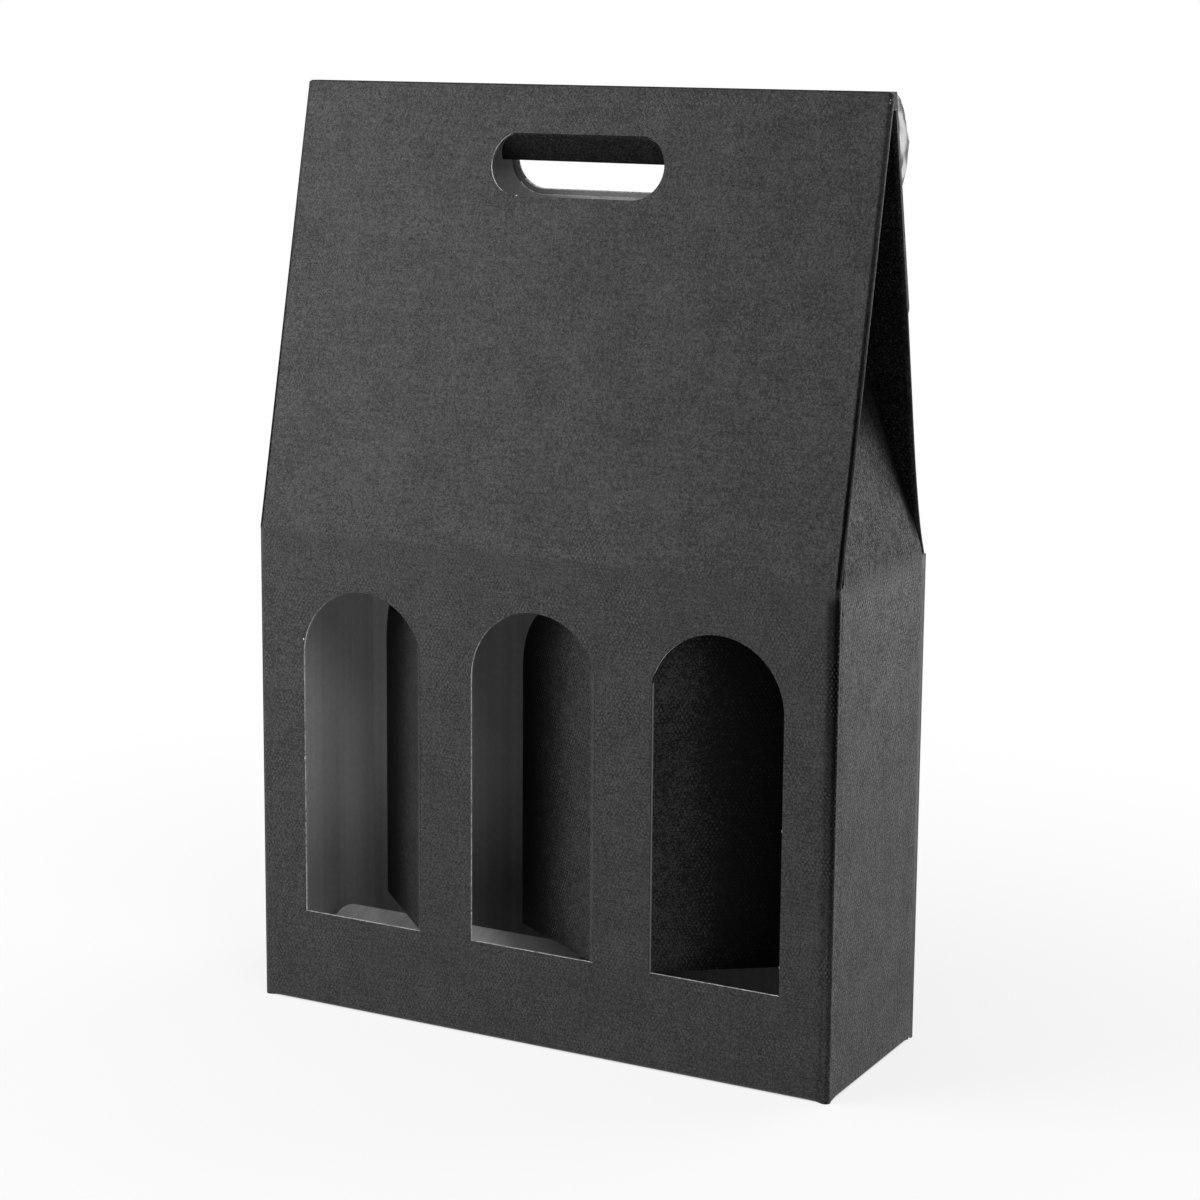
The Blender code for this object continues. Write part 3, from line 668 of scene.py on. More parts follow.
def add_side(materials, end, side):
    """A side wall with its gusset, and on the right side the glue flap too: one sheet."""
    levels = gusset_levels()
    edges = [gusset_edges(level) for level in levels]
    if side < 0:
        edges = [(-back, -front) for front, back in edges]
    heights = [FOLD_HEIGHT + level for level in levels]
    low_edge = [(start, height) for height, (start, stop) in zip(heights, edges)]
    high_edge = [(stop, height) for height, (start, stop) in zip(heights, edges)]
    high_end = DEPTH / 2
    first = -(DEPTH / 2 - BEND_RADIUS + MITRE)
    u_lines = [-line for line in bend_lines(DEPTH / 2)]
    if side > 0:
        high_end = DEPTH / 2 - BOARD - CREASE_GAP
        last = high_end - BEND_RADIUS
        corner_end = last + BEND_RADIUS * QUARTER
        finish = glue_flap_outline(last, corner_end + GLUE_FLAP_WIDTH - BEND_RADIUS)
        u_lines += bend_lines(high_end, QUARTER, 2 * BEND_STEPS) + [corner_end]
    else:
        last = high_end - BEND_RADIUS + MITRE
        finish = [(last, FOLD_HEIGHT)]
        u_lines += bend_lines(high_end)
    outline = foot_outline(first, last, DEPTH / 2) + finish + high_edge
    outline += list(reversed(low_edge)) + [(first, FOLD_HEIGHT)]

    def place(u, v, depth):
        if v > FOLD_HEIGHT:
            level = v - FOLD_HEIGHT
            slope = GUSSET_SLOPE * min(level / GUSSET_BEND, 1)
            return u, gusset_lean(level) + depth * math.hypot(1, slope), v
        inward, z = foot(u, v, depth, DEPTH / 2)
        inward += DENT * corner_dent(u, v, DEPTH / 2) * eased(v) * (u * side < 0)
        fade = eased(FOLD_HEIGHT - v) * eased(v) * eased(DEPTH / 2 - abs(u))
        inward += WARP * fade * warp(u, v, SIDE_SEED + side)
        return *wall_bend(u, inward, high_end if u > 0 else DEPTH / 2), z

    def joined(u, v):
        if v > FOLD_HEIGHT - MM:
            return v < heights[-1] - MM
        return u < first + MM / 2 or (side < 0 and u > last - MM / 2)

    u_lines += grid_lines(-DEPTH / 2, DEPTH / 2)
    v_lines = foot_lines() + grid_lines(0, FOLD_HEIGHT) + heights
    mesh = sheet_mesh([outline], u_lines, v_lines, place, BOARD, joined)
    nodes = [end + "_side_panel", end + "_gusset"] + (["glue_flap"] if side > 0 else [])
    location = (side * WIDTH / 2, 0, 0)
    add_piece(end + "_side_board", mesh, materials, "carton", nodes, location, (0, 0, side * QUARTER))


def add_window_flaps(materials, worn_and_highlit_materials):
    """The windows' cut-outs, each turned in about the crease on its window's side."""
    axis = CUT_GAP + HALF_BOARD
    far = WINDOW_WIDTH - CUT_GAP - axis
    middle = WINDOW_WIDTH / 2 - axis
    radius = WINDOW_WIDTH / 2 - CUT_GAP
    crown = arc((middle, WINDOW_SPRING), radius, 0, math.acos(-middle / radius))
    outline = [(-ROUND_END, WINDOW_SILL + CUT_GAP), (far, WINDOW_SILL + CUT_GAP)] + crown
    outline.append((-ROUND_END, crown[-1][Y]))
    for seed, (name, (joint, side)) in enumerate(WINDOW_HINGES.items()):
        loop = mirrored(outline) if side > 0 else outline

        def place(u, v, depth):
            away = abs(u) if u * side < 0 else -abs(u)
            inward = rounded_end(-away, 0, depth) - HALF_BOARD
            bend = WARP * eased(away) * warp(u, v, FLAP_SEED + seed)
            return u, inward + bend, v

        u_lines = both_sides(knuckle_lines(0)) + both_sides(grid_lines(0, WINDOW_WIDTH))
        v_lines = grid_lines(WINDOW_SILL, FOLD_HEIGHT)
        mesh = sheet_mesh([loop], u_lines, v_lines, place)
        pivot = JOINTS[joint]["pos_m"]
        turn = -side * rest_angle(joint)
        look = materials if side > 0 else worn_and_highlit_materials
        add_piece(name + "_board", mesh, look, name, [name], (pivot[0], pivot[1], 0), (0, 0, turn))


def add_handle_flap(materials):
    """The upper half of the slot's cut-out, turned in about the slot's top."""
    radius = SLOT_HEIGHT / 2 - CUT_GAP
    middle = CUT_GAP + HALF_BOARD - SLOT_HEIGHT / 2
    right = arc((SLOT_STRAIGHT, middle), radius, 0, math.asin(-middle / radius))
    corner = right[-1][X]
    outline = right + [(corner, ROUND_END), (-corner, ROUND_END)] + mirrored(right)

    def place(u, v, depth):
        return u, rounded_end(v, 0, depth) - HALF_BOARD, v

    u_lines = grid_lines(-SLOT_LENGTH / 2, SLOT_LENGTH / 2)
    mesh = sheet_mesh([outline], u_lines, knuckle_lines(0), place)
    pivot = JOINTS["handle_flap_crease"]["pos_m"]
    rotation = (rest_angle("handle_flap_crease") - ROOF_LEAN, 0, 0)
    add_piece("handle_flap_board", mesh, materials, "handle_flap", ["handle_flap"], pivot, rotation)


def add_closure(materials):
    """The ridge strip and the closure flap."""
    half = WIDTH / 2 - CLOSURE_INSET
    centre = (half - CLOSURE_CORNER, CLOSURE_CORNER - CLOSURE_LENGTH)
    corner = arc(centre, CLOSURE_CORNER, -QUARTER, 0, CORNER_STEPS)
    outline = corner + [(half, ROUND_END), (-half, ROUND_END)] + mirrored(corner)

    def place(u, v, depth):
        bend = WARP * eased(-v) * warp(u, v, CLOSURE_SEED)
        return u, rounded_end(v, 0, depth) - HALF_BOARD + bend, v

    u_lines = grid_lines(-WIDTH / 2, WIDTH / 2)
    v_lines = knuckle_lines(0) + grid_lines(-CLOSURE_LENGTH, 0)
    loops = [outline, stadium(SLOT_MIDDLE - RIDGE_AXIS, CLOSURE_SLOT_INSET)]
    mesh = sheet_mesh(loops, u_lines, v_lines, place, upward=True)
    pivot = JOINTS["closure_crease"]["pos_m"]
    rotation = (-ROOF_LEAN, 0, math.pi)
    add_piece("closure_board", mesh, materials, "closure", ["closure_flap"], pivot, rotation)

    def strip_place(u, v, depth):
        if depth:
            v = math.copysign(-RIDGE_AXIS_Y - UNDERCUT, v)
        return u, v, -depth

    y = RIDGE_AXIS_Y
    strip = [(-half, y), (half, y), (half, -y), (-half, -y)]
    mesh = sheet_mesh([strip], grid_lines(-half, half), [], strip_place)
    add_piece("ridge_strip_board", mesh, materials, "ridge_strip", ["ridge_strip"], (0, 0, HEIGHT))


def add_base(materials):
    """The two long base flaps, standing up like a tent."""
    end = WIDTH / 2 - BOARD - BASE_SIDE_CLEARANCE
    step = -BASE_MIDDLE_GAP / 2
    centre = (-end + BASE_CORNER, BASE_DEEP - BASE_CORNER)
    outline = [(-end, -ROUND_END), (end, -ROUND_END), (end, 0), (end - BASE_SHALLOW, BASE_SHALLOW)]
    outline += [(step, BASE_SHALLOW), (step, BASE_DEEP - BASE_HOOK), (step - BASE_HOOK, BASE_DEEP)]
    outline += arc(centre, BASE_CORNER, QUARTER, math.pi, CORNER_STEPS)

    def place(u, v, depth):
        return u, v, rounded_end(-v, 0, depth) - HALF_BOARD + WARP * eased(v) * warp(u, v, BASE_SEED)

    lines = [-line for line in knuckle_lines(0)] + grid_lines(0, BASE_DEEP)
    for name, turn in (("front_base_flap", 0), ("back_base_flap", math.pi)):
        mesh = sheet_mesh([outline], grid_lines(-end, end), lines, place)
        pivot = JOINTS[name.replace("_flap", "_crease")]["pos_m"]
        rotation = (BASE_FLAP_RAISE, 0, turn)
        add_piece(name + "_board", mesh, materials, name, [name], pivot, rotation)


def add_side_base(materials):
    """The two short base flaps, flat on the floor."""
    long, end = SIDE_FLAP_LENGTH, DEPTH / 2 - BOARD - CUT_GAP
    outline = [(0, -end), (long, -end + long * SIDE_FLAP_TAPER_SHARE), (long, end - long), (0, end)]

    def place(u, v, depth):
        return u, v, depth

    wall_face = WIDTH / 2 - BOARD - CREASE_GAP
    for name, side, turn in (("left_base_flap", -1, 0), ("right_base_flap", +1, math.pi)):
        mesh = sheet_mesh([outline], grid_lines(0, long), [], place)
        location, rotation = (side * wall_face, 0, 0), (0, 0, turn)
        add_piece(name + "_board", mesh, materials, "carton", [name], location, rotation)


def add_film(material):
    """Clear film, crumpled, over the closure flap's right end."""
    shares, bulges = zip(*FILM_BULGE)

    def place(across, along, depth):
        rise = float(np.interp(along, shares, bulges))
        crumple = 0
        for height, wide, long, seed in FILM_CRUMPLES:
            crumple += noise.noise((across * wide, along * long, seed)) * height
        crumple *= math.sin(math.pi * along) ** FILM_CRUMPLE_FADE
        near = smooth_share(1 - across, 0.0, FILM_NEAR_SHARE)
        lift = FILM_FAR_LIFT + (1 - FILM_FAR_LIFT) * near
        out = max(FILM_REACH * rise * lift + FILM_CRUMPLE * crumple, 0) + FILM_STANDOFF
        height = ROOF_LENGTH - FILM_TOP_DROP - SEAL_LENGTH * FILM_LENGTH_SHARE * along
        return -(WIDTH / 2 - CLOSURE_INSET) + SEAL_WIDTH * across, -out + depth, height

    loop = [(0, 0), (1, 0), (1, 1), (0, 1)]
    u_lines = steps_between(0, 1, FILM_COLUMNS)[1:-1]
    v_lines = steps_between(0, 1, FILM_ROWS)[1:-1]
    mesh = sheet_mesh([loop], u_lines, v_lines, place, FILM_THICKNESS)
    location, rotation = (0, DEPTH / 2, FOLD_HEIGHT), (-ROOF_LEAN, 0, math.pi)
    add_piece("film", mesh, [material] * 3, "closure", ["clear_seal"], location, rotation)


def nick_points():
    """Places of the torn ends on the front and on its roof panel, and of the painted highlights at the
    ridge's end.
    """
    points = []
    for place, (joint, side) in zip((-1, 0, 1), WINDOW_HINGES.values()):
        cut = place * WINDOW_PITCH - side * WINDOW_WIDTH / 2
        points += [(cut, 0, height) for height in NICK_HEIGHTS]
        points.append((place * WINDOW_PITCH, 0, WINDOW_SILL))
    low = FOLD_HEIGHT + SLOT_MIDDLE - SLOT_HEIGHT / 2
    roof = [(-SLOT_STRAIGHT, low), (SLOT_STRAIGHT / 3, low)]
    roof += [(side * SLOT_STRAIGHT, FOLD_HEIGHT + HANDLE_AXIS) for side in (-1, 1)]
    wear_and_highlight = [(WIDTH / 2 - x * MM, ROOF_END - drop * MM) for x, drop in FILM_GLINT_SPOTS]
    return points, [slope_place(u, 0, v) for u, v in roof], [slope_place(u, 0, v) for u, v in wear_and_highlight]


def add_nicks(materials):
    """The torn ends of the nicks that held each cut-out in the blank, and pale spots at the ridge's end:
    painted highlights.
    """
    walls, roof, wear_and_highlight = nick_points()
    shape = bmesh.new()
    for number, point in enumerate(walls + roof + wear_and_highlight):
        lump = bmesh.ops.create_icosphere(shape, subdivisions=2, radius=NICK_SIZE)["verts"]
        for face in {face for vert in lump for face in vert.link_faces}:
            face.material_index = number >= len(walls + roof)
        tall = number < len(walls) and point[Z] > WINDOW_SILL
        for vert in lump:
            jitter = noise.noise(vert.co * (2 / NICK_SIZE) + Vector((number, 0, 0)))
            vert.co *= NICK_SHARE + NICK_JITTER * jitter
            vert.co.z *= NICK_STRETCH if tall else 1
            vert.co += Vector(point)
    mesh = finished_mesh(shape)
    mesh.shade_smooth()
    add_piece("nicks", mesh, materials, "carton", [], (0, -DEPTH / 2 + NICK_INSET * NICK_SIZE, 0))


# Materials


def new_material(name):
    material = bpy.data.materials.new(name)
    material.use_nodes = True
    tree = material.node_tree
    return material, tree, tree.nodes["Principled BSDF"]


def feed(tree, socket, value):
    if isinstance(value, bpy.types.NodeSocket):
        tree.links.new(value, socket)
    elif value is not None:
        socket.default_value = value


def fed(tree, node, *values):
    """What comes out of a node whose first sockets are set or linked, in order."""
    for socket, value in zip(node.inputs, values):
        feed(tree, socket, value)
    return node.outputs[0]


def new_node(tree, kind, **values):
    """A shader node, with the named sockets set or linked."""
    node = tree.nodes.new("ShaderNode" + kind)
    for name, value in values.items():
        feed(tree, node.inputs[name], value)
    return node


def math_node(tree, operation, first, second=None):
    node = new_node(tree, "Math")
    node.operation = operation
    return fed(tree, node, first, second)


def plus(tree, first, second):
    return math_node(tree, "ADD", first, second)


def times(tree, first, second):
    return math_node(tree, "MULTIPLY", first, second)


def minus(tree, first, second):
    return math_node(tree, "SUBTRACT", first, second)


def highest(tree, first, second):
    return math_node(tree, "MAXIMUM", first, second)


def size_of(tree, value):
    return math_node(tree, "ABSOLUTE", value)


def noise_node(tree, vector, scale, detail=2.0, roughness=0.5):
    node = new_node(tree, "TexNoise", Vector=vector, Scale=scale, Detail=detail, Roughness=roughness)
    return node.outputs[0]


def ramp_node(tree, value, stops):
    node = new_node(tree, "ValToRGB")
    elements = node.color_ramp.elements
    while len(elements) < len(stops):
        elements.new(0.5)
    for element, (position, level) in zip(elements, stops):
        element.position = position
        element.color = (level[0], level[1], level[2], 1)
    return fed(tree, node, value)


def mix_colors(tree, share, first, second):
    node = new_node(tree, "Mix")
    node.data_type = "RGBA"
    sockets = [node.inputs[0]] + [socket for socket in node.inputs if socket.type == "RGBA"]
    for socket, value in zip(sockets, (share, first, second)):
        feed(tree, socket, value)
    return [socket for socket in node.outputs if socket.type == "RGBA"][0]


def object_axes(tree):
    """A place in the object, and its three parts."""
    place = new_node(tree, "TexCoord").outputs["Object"]
    return place, new_node(tree, "SeparateXYZ", Vector=place).outputs


def stretched(tree, place, factors):
    """A place with its parts multiplied, so that what is made from it is drawn out along the small ones."""
    node = new_node(tree, "VectorMath")
    node.operation = "MULTIPLY"
    return fed(tree, node, place, factors)


def map_node(tree, value, low, high, to_low=0.0, to_high=1.0):
    """A value's place between two levels, smoothly, as a number between two others."""
    node = new_node(tree, "MapRange")
    node.interpolation_type = "SMOOTHSTEP"
    return fed(tree, node, value, low, high, to_low, to_high)


def bump_node(tree, shader, height, strength, distance):
    node = new_node(tree, "Bump", Strength=strength, Distance=distance, Height=height)
    feed(tree, shader.inputs["Normal"], node.outputs[0])


def set_shader(tree, shader, color, roughness, specular=None):
    feed(tree, shader.inputs["Base Color"], color)
    feed(tree, shader.inputs["Roughness"], roughness)
    feed(tree, shader.inputs["Specular IOR Level"], specular)


def weighted_sum(tree, parts):
    total = None
    for value, weight in parts:
        part = times(tree, value, weight)
        total = part if total is None else plus(tree, total, part)
    return total


def emboss_node(tree, place, across, up):
    """Pressed dots in rows, each row half a dot on from the last, -0.5 to 1."""
    wave = 2 * math.pi / EMBOSS_ROW
    shakes = [times(tree, noise_node(tree, place, scale, 1), EMBOSS_SHAKE) for scale in EMBOSS_SHAKE_SCALES]
    rows = plus(tree, times(tree, up, wave), shakes[0])
    columns = plus(tree, times(tree, across, wave * math.cos(math.pi / 6)), shakes[1])
    half_rows = math_node(tree, "COSINE", times(tree, rows, 0.5))
    crossed = times(tree, half_rows, math_node(tree, "COSINE", columns))
    dots = weighted_sum(tree, ((math_node(tree, "COSINE", rows), 0.25), (crossed, 0.75)))
    strength = map_node(tree, noise_node(tree, place, 60, 3), 0.38, 0.62, 0.15, 1.3)
    return times(tree, dots, strength)


def board_tone(tree, place, grains, dots, contrast, streaked):
    """How light the board is at a place, about 0.5. streaked is how strong the threads are, up and across."""
    tone = weighted_sum(tree, ((weighted_sum(tree, zip(grains, TONE_SHARES)), contrast), dots))
    tone = plus(tree, tone, 0.5 * (1 - contrast))
    for weight, factors in zip(streaked, THREAD_STRETCHES):
        if weight:
            threads = noise_node(tree, stretched(tree, place, factors), *THREADS)
            tone = weighted_sum(tree, ((tone, 1), (minus(tree, threads, 0.5), weight)))
    return tone


def board_material(
    name, emboss=1.0, shine=0.5, crushed_and_shaded=None, wear_and_highlight=None, shade=0, depth=0,
    contrast=1.0, streaked=(0, 0), polish=0.02,
):
    """Matte black board, embossed like linen, on a face along the object's x and z.

    crushed_and_shaded is a corner's side, distance from the middle and width of a dark band there, part
    crushing of the board and part painted shade; on a side board it also brings painted shade deep in the
    gusset's fold.
    wear_and_highlight is how strong and wide the paler line at a crease is, part wear and part painted
    highlight.
    shade makes it darker, as painted shade, and depth is how far from the crease the painted shade gets
    darkest, with a slight painted highlight right by the crease. polish is how far its roughness varies.
    """
    material, tree, shader = new_material(name)
    place, axes = object_axes(tree)
    dots = emboss_node(tree, place, axes[X], axes[Z])
    if crushed_and_shaded and not crushed_and_shaded[0]:
        roof = map_node(tree, axes[Z], 0.85 * FOLD_HEIGHT, 1.15 * FOLD_HEIGHT, 1, ROOF_EMBOSS)
        dots = times(tree, dots, roof)
    grains = [noise_node(tree, place, *grain) for grain in (MOTTLE, CLOUDS, GRAIN)]
    tone = board_tone(tree, place, grains, (dots, EMBOSS_TONE * emboss), contrast, streaked)
    # Painted shade: the tone made darker all over
    if shade:
        tone = minus(tree, tone, shade)
    # Painted shade, darker away from the crease, with a slight painted highlight right by it
    if depth:
        tone = minus(tree, tone, map_node(tree, size_of(tree, axes[X]), depth * 0.15, depth, -0.022, 0.16))
    color = ramp_node(tree, tone, BOARD_TONES)
    sheen = ramp_node(tree, tone, BOARD_SHEENS)
    rough = map_node(tree, tone, 0.38, 0.62, BOARD_ROUGHNESS + polish, BOARD_ROUGHNESS - polish)
    if crushed_and_shaded:
        crush_and_shade = crush_and_shade_share(tree, place, axes, dots, *crushed_and_shaded)
        if crushed_and_shaded[0]:
            # Painted shade on a gusset, deep in the gable's fold and beside its back web
            in_fold = times(tree, gusset_shade(tree, axes, -crushed_and_shaded[0]), GUSSET_SHADE_SHARE)
            crush_and_shade = highest(tree, crush_and_shade, in_fold)
        # Darkens colour and sheen: the corner band is part crushing and part painted shade, the fold line and
        # gusset painted shade
        color = mix_colors(tree, crush_and_shade, color, CRUSHED_AND_SHADED)
        sheen = mix_colors(tree, crush_and_shade, sheen, CRUSHED_AND_SHADED)
        rough = weighted_sum(tree, ((rough, 1), (crush_and_shade, 1 - BOARD_ROUGHNESS)))
    # A paler line along the crease, part wear and part painted highlight
    if wear_and_highlight:
        near = map_node(tree, size_of(tree, axes[X]), wear_and_highlight[1], wear_and_highlight[1] / 3)
        color = mix_colors(tree, times(tree, near, wear_and_highlight[0]), color, WEAR_AND_HIGHLIGHT)
    set_shader(tree, shader, color, rough, shine)
    feed(tree, shader.inputs["Specular Tint"], sheen)
    relief = weighted_sum(tree, ((dots, 0.8 * emboss), (grains[0], 1.0), (grains[2], 0.6)))
    bump_node(tree, shader, relief, 0.5, BOARD_BUMP)
    return material


def crush_and_shade_share(tree, place, axes, dots, side, end, wide):
    """The dark band beside a corner's crease, part crushing of the board and part painted shade, and the thin
    line of painted shade beside a roof panel's fold, which also dims the fold's sheen.

    side is 0 for a front or back board, whose dark corner band is at its +x end. The band starts as a point
    at the fold, and its dots are rubbed.
    """
    height = axes[Z]
    ragged = minus(tree, times(tree, noise_node(tree, place, 700, 2), RAGGED), RAGGED / 2)
    rough_edge = plus(tree, times(tree, axes[X], side or 1), ragged)
    width = map_node(tree, height, FOLD_HEIGHT - 8 * MM, FOLD_HEIGHT + 4 * MM, wide, 0.2 * MM)
    reach = minus(tree, rough_edge, minus(tree, end, width))
    band = map_node(tree, math_node(tree, "DIVIDE", reach, wide), 0, 0.85)
    below = map_node(tree, height, FOLD_HEIGHT + MM, FOLD_HEIGHT - MM)
    rubbed = minus(tree, 0.9, times(tree, dots, 0.5))
    low = times(tree, times(tree, band, below), rubbed)
    low = times(tree, low, map_node(tree, height, 0, FOLD_HEIGHT - CRUSH_AND_SHADE_FADE, CRUSH_AND_SHADE_AT_FOOT, 1))
    if side:
        return low
    # Painted shade: a thin dark line beside a roof panel's fold, partly over the fold itself to dim its sheen
    edge = size_of(tree, axes[X])
    rough_edge = plus(tree, edge, ragged)
    line_in = map_node(tree, rough_edge, end - 2.0 * MM, end - 1.2 * MM)
    line_out = map_node(tree, edge, end - 0.60 * MM, end - 0.30 * MM, 1, 0.45)
    over = map_node(tree, height, FOLD_HEIGHT - 2 * MM, FOLD_HEIGHT + 2 * MM)
    fading = map_node(tree, height, FOLD_HEIGHT + 0.1 * ROOF_RISE, HEIGHT, 0.95, 0.25)
    line = times(tree, times(tree, line_in, line_out), over)
    return highest(tree, low, times(tree, line, fading))


def gusset_shade(tree, axes, back):
    """How much painted shade a gusset's face takes, deep in the fold and beside its back web. back is that
    web's side of x.
    """
    level = minus(tree, axes[Z], FOLD_HEIGHT)
    lean = times(tree, level, ROOF_SIN / ROOF_COS)
    crease = minus(tree, DEPTH / 2 - (WEB_BACK + BACK_BOW) / ROOF_COS, lean)
    away = minus(tree, crease, times(tree, axes[X], back))
    near = map_node(tree, away, GUSSET_SHADE_WIDTH, 0)
    up = map_node(tree, level, 0, GUSSET_SHADE_RISE)
    deep = map_node(tree, level, ROOF_RISE * GUSSET_DARK_FROM, ROOF_RISE * GUSSET_DARK_TO, 0, GUSSET_DARKEST)
    low = map_node(tree, level, -GUSSET_FOOT_FADE, GUSSET_FOOT_FADE, 0, GUSSET_FOOT_SHADE)
    return highest(tree, times(tree, near, up), highest(tree, low, deep))


def liner_material(name, body, streak, shaded=False):
    """The smooth grey inside of the board, with faint streaks along the flutes.

    shaded makes it darker near the floor, and under the ridge towards one end.
    """
    material, tree, shader = new_material(name)
    place, axes = object_axes(tree)
    streaks = new_node(tree, "TexNoise", Scale=240, Detail=3)
    streaks.noise_dimensions = "1D"
    feed(tree, streaks.inputs["W"], axes[X])
    fibres = noise_node(tree, place, 500, 2)
    clouds = noise_node(tree, place, 30, 2)
    tone = weighted_sum(tree, ((streaks.outputs[0], 0.4), (fibres, 0.35), (clouds, 0.25)))
    color = ramp_node(tree, tone, ((0.36, streak), (0.64, body)))
    if shaded:
        low = map_node(tree, axes[Z], WINDOW_SILL / 2, FOLD_HEIGHT / 2, 0.42, 0)
        high = map_node(tree, axes[Z], FOLD_HEIGHT, HEIGHT - SLOT_DROP, 0, 0.34)
        high = times(tree, high, map_node(tree, axes[X], -SLOT_STRAIGHT, SLOT_STRAIGHT))
        color = mix_colors(tree, highest(tree, low, high), color, BLACK)
    bump_node(tree, shader, streaks.outputs[0], 0.25, 0.06 * MM)
    set_shader(tree, shader, color, 0.6, 0.3)
    return material


def edge_material(name, light):
    """The pale core where the board is cut, rough with torn fibres and flute ends. light below 1 makes it
    painted shade.
    """
    material, tree, shader = new_material(name)
    place = object_axes(tree)[0]
    fibres = noise_node(tree, place, 900, 3, 0.7)
    tone = weighted_sum(tree, ((fibres, 0.8), (noise_node(tree, place, 160, 2), 0.25)))
    stops = [(at, (level * light,) * 3) for at, level in EDGE_TONES]
    bump_node(tree, shader, fibres, 0.5, 0.1 * MM)
    set_shader(tree, shader, ramp_node(tree, tone, stops), 0.9, 0.15)
    return material


def film_material():
    """Thin clear plastic, crumpled, with pale streaks of painted highlight along its folds."""
    material, tree, shader = new_material("clear_film")
    folds = noise_node(tree, stretched(tree, object_axes(tree)[0], FILM_STRETCH), *FILM_FOLDS)
    set_shader(tree, shader, ramp_node(tree, folds, FILM_TONES_AND_HIGHLIGHTS), 0.15)
    feed(tree, shader.inputs["Alpha"], map_node(tree, folds, *FILM_ALPHA))
    bump_node(tree, shader, folds, 0.6, FILM_BUMP)
    return material


# Stage, lights and camera


def mix_shaders(tree, share, first, second, output):
    mix = fed(tree, new_node(tree, "MixShader"), share, first, second)
    feed(tree, output.inputs["Surface"], mix)


def floor_whiteness(tree):
    """How white the floor shows itself: fully far off, less by the box, and not at all under it."""
    place, axes = object_axes(tree)
    reach = new_node(tree, "VectorMath")
    reach.operation = "LENGTH"
    fed(tree, reach, place)
    far = map_node(tree, reach.outputs["Value"], FLOOR_NEAR, FLOOR_FAR, FLOOR_NEAR_WHITE, 1)
    beyond_x = minus(tree, size_of(tree, axes[X]), WIDTH / 2)
    beyond_y = minus(tree, size_of(tree, axes[Y]), DEPTH / 2)
    return times(tree, far, map_node(tree, highest(tree, beyond_y, beyond_x), -FLOOR_EDGE, 0))


def add_floor():
    shape = bmesh.new()
    bmesh.ops.create_grid(shape, x_segments=1, y_segments=1, size=FLOOR_SIZE)
    mesh = finished_mesh(shape)
    floor = new_object("floor", mesh)
    floor.location.z = CAD_BOX[0].z - FLOOR_GAP
    material, tree, shader = new_material("floor")
    set_shader(tree, shader, FLOOR_COLOR, 0.9, 0)
    path = new_node(tree, "LightPath")
    seen = highest(tree, path.outputs["Is Camera Ray"], path.outputs["Is Glossy Ray"])
    seen = highest(tree, seen, path.outputs["Is Transmission Ray"])
    white = new_node(tree, "Emission").outputs[0]
    share = times(tree, floor_whiteness(tree), seen)
    mix_shaders(tree, share, shader.outputs[0], white, tree.nodes["Material Output"])
    mesh.materials.append(material)


def add_light(name, place, size, level):
    """A soft box round the carton, aimed at its middle."""
    azimuth, elevation, distance = math.radians(place[0]), math.radians(place[1]), place[2]
    target = Vector((0, 0, HEIGHT / 2))
    flat = math.cos(elevation) * distance
    away = Vector((math.sin(azimuth) * flat, -math.cos(azimuth) * flat, math.sin(elevation) * distance))
    data = bpy.data.lights.new(name, "AREA")
    data.shape = "RECTANGLE"
    data.size, data.size_y = size
    data.energy = level * math.pi * size[0] * size[1]
    lamp = new_object(name, data)
    lamp.location = target + away
    lamp.rotation_euler = away.to_track_quat("Z", "Y").to_euler()


def set_world():
    world = bpy.data.worlds.new("studio")
    bpy.context.scene.world = world
    world.use_nodes = True
    tree = world.node_tree
    soft = tree.nodes["Background"]
    feed(tree, soft.inputs["Color"], WHITE)
    feed(tree, soft.inputs["Strength"], WORLD_LEVEL)
    white = new_node(tree, "Background", Color=WHITE)
    path = new_node(tree, "LightPath")
    seen = highest(tree, path.outputs["Is Camera Ray"], path.outputs["Is Transmission Ray"])
    mix_shaders(tree, seen, soft.outputs[0], white.outputs[0], tree.nodes["World Output"])


def add_camera():
    data = bpy.data.cameras.new("camera")
    data.lens = CAMERA_LENS
    data.sensor_width = CAMERA_SENSOR
    data.shift_y = CAMERA_SHIFT
    camera = new_object("camera", data)
    camera.location = CAMERA_PLACE
    camera.rotation_euler = [math.radians(angle) for angle in CAMERA_ANGLES]
    bpy.context.scene.camera = camera


def side_board(name, side):
    """A side wall's board, its front corner's dark band part crushing and part painted shade, on that side of
    its own x.
    """
    crushed_and_shaded = (side, DEPTH / 2, SIDE_CRUSH_AND_SHADE_WIDTH)
    return board_material(name, crushed_and_shaded=crushed_and_shaded, contrast=1.5, polish=0.11, streaked=(0.3, 0))


edge = edge_material("cut_edge", 1)
liner = liner_material("liner", LINER_BODY, LINER_STREAK, True)
# A darker copy of the cut edge: painted shade on edges that face away from the light.
shaded_cut_edge = edge_material("shaded_edge", 0.16)
# Webs folded into the gable: a darker, duller copy of the board, painted shade.
tucked_in_shade = board_material("shaded_tucked_board", shine=0.1, shade=0.06)
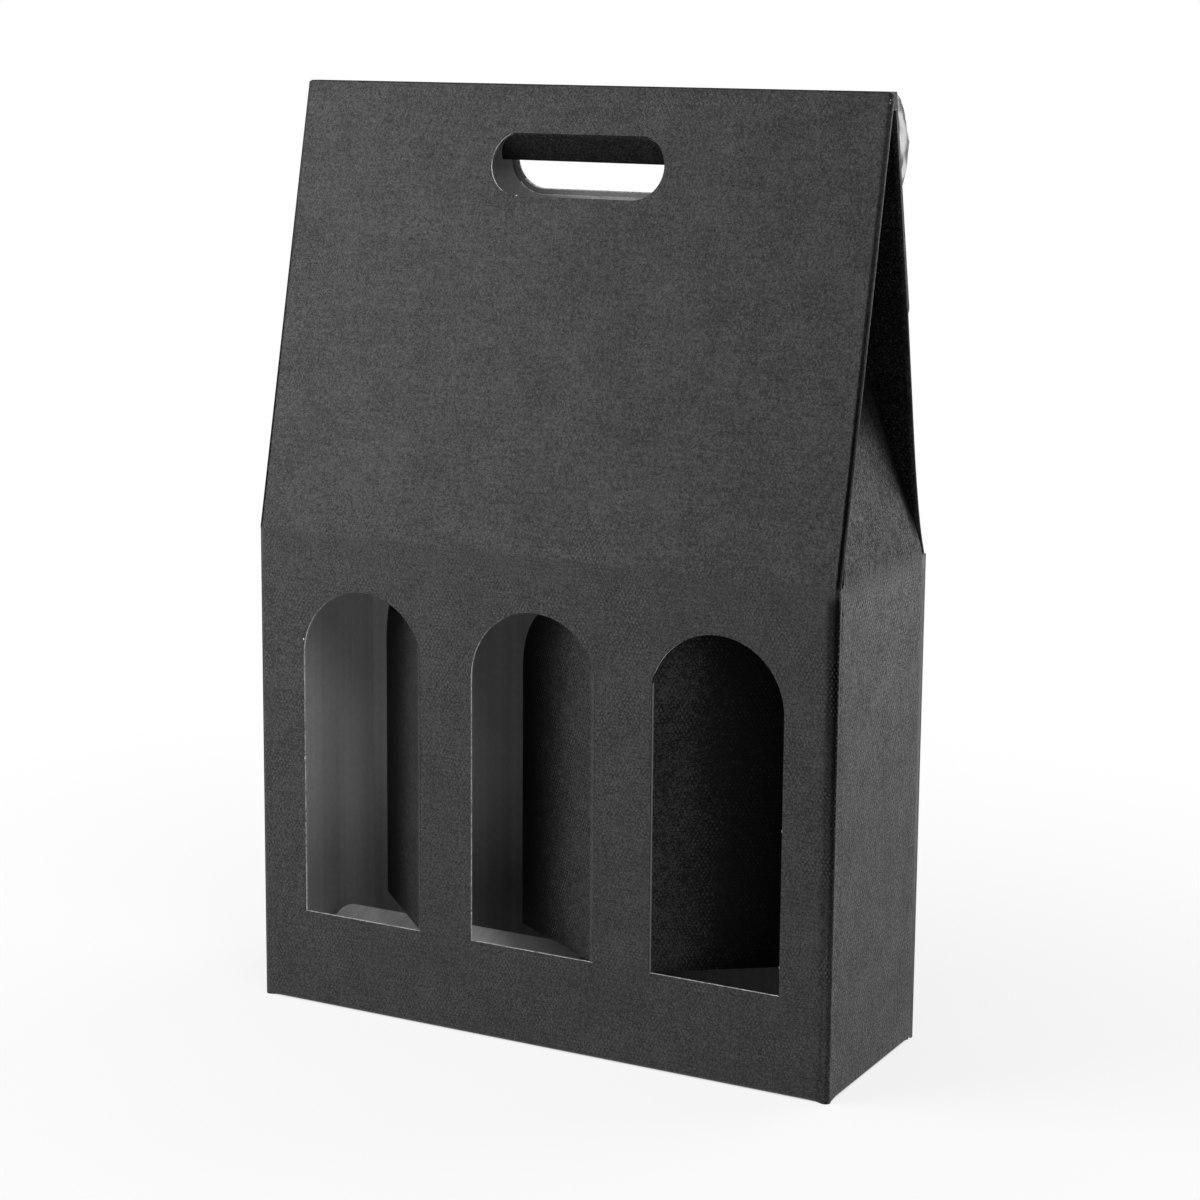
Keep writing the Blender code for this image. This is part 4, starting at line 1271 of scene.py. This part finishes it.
# Front and back boards: a dark corner band, part crushing and part painted shade, and painted shade beside
# the roof's folds
outer = board_material("outer_board", crushed_and_shaded=(0, WIDTH / 2, CRUSH_AND_SHADE_WIDTH), streaked=(0.13, 0.13))
front_look = [outer, liner, edge, tucked_in_shade]
back_look = [outer, liner, shaded_cut_edge, tucked_in_shade, edge]
left_look = [side_board("left_side_board", +1), liner, edge]
right_look = [side_board("right_side_board", -1), liner, edge]
# The closure flap's inside takes a darker copy of the liner: painted shade
shaded_closure_liner = liner_material("shaded_closure_liner", CLOSURE_SHADED_BODY, CLOSURE_SHADED_STREAK)
closure_look = [board_material("closure_board", 0.8), shaded_closure_liner, shaded_cut_edge, tucked_in_shade, edge]
# Window flaps: darker, duller copies of the outer board, painted shade that deepens away from the crease
flap_board = board_material("flap_board", 1.2, 0.20, wear_and_highlight=(0.12, 2.6 * MM), depth=55 * MM)
# The right window's flap: a stronger, narrower pale line at its crease, part wear and part painted highlight
worn_and_highlit_board = board_material("worn_and_highlit_flap_board", 1.2, 0.12, wear_and_highlight=(0.7, 0.45 * MM), depth=37 * MM)
# The handle flap: a darker, duller, smoother copy of the board, painted shade deep in its slot
handle_board = board_material("handle_board", 0.5, 0.10, shade=0.03, contrast=0.6)
# The base flaps take a lighter copy of the liner: painted light
lit_base_liner = liner_material("lit_base_liner", BASE_LIT_BODY, BASE_LIT_STREAK)
base_look = [board_material("base_board"), lit_base_liner, edge]

add_front(front_look)
add_back(back_look)
add_side(left_look, "left", -1)
add_side(right_look, "right", +1)
add_window_flaps([flap_board, liner, shaded_cut_edge], [worn_and_highlit_board, liner, shaded_cut_edge])
add_handle_flap([handle_board, liner, shaded_cut_edge])
add_closure(closure_look)
add_base(base_look)
add_side_base(base_look)
# The spots at the ridge's end take the second, dimmer edge colour as painted highlights of the film
add_nicks([edge, edge_material("film_glint_edge", 0.7)])
add_film(film_material())
add_floor()
set_world()
for name, place, size, level in SOFT_BOXES:
    add_light(name, place, size, level)
add_camera()

bpy.context.scene.view_settings.view_transform = "Standard"
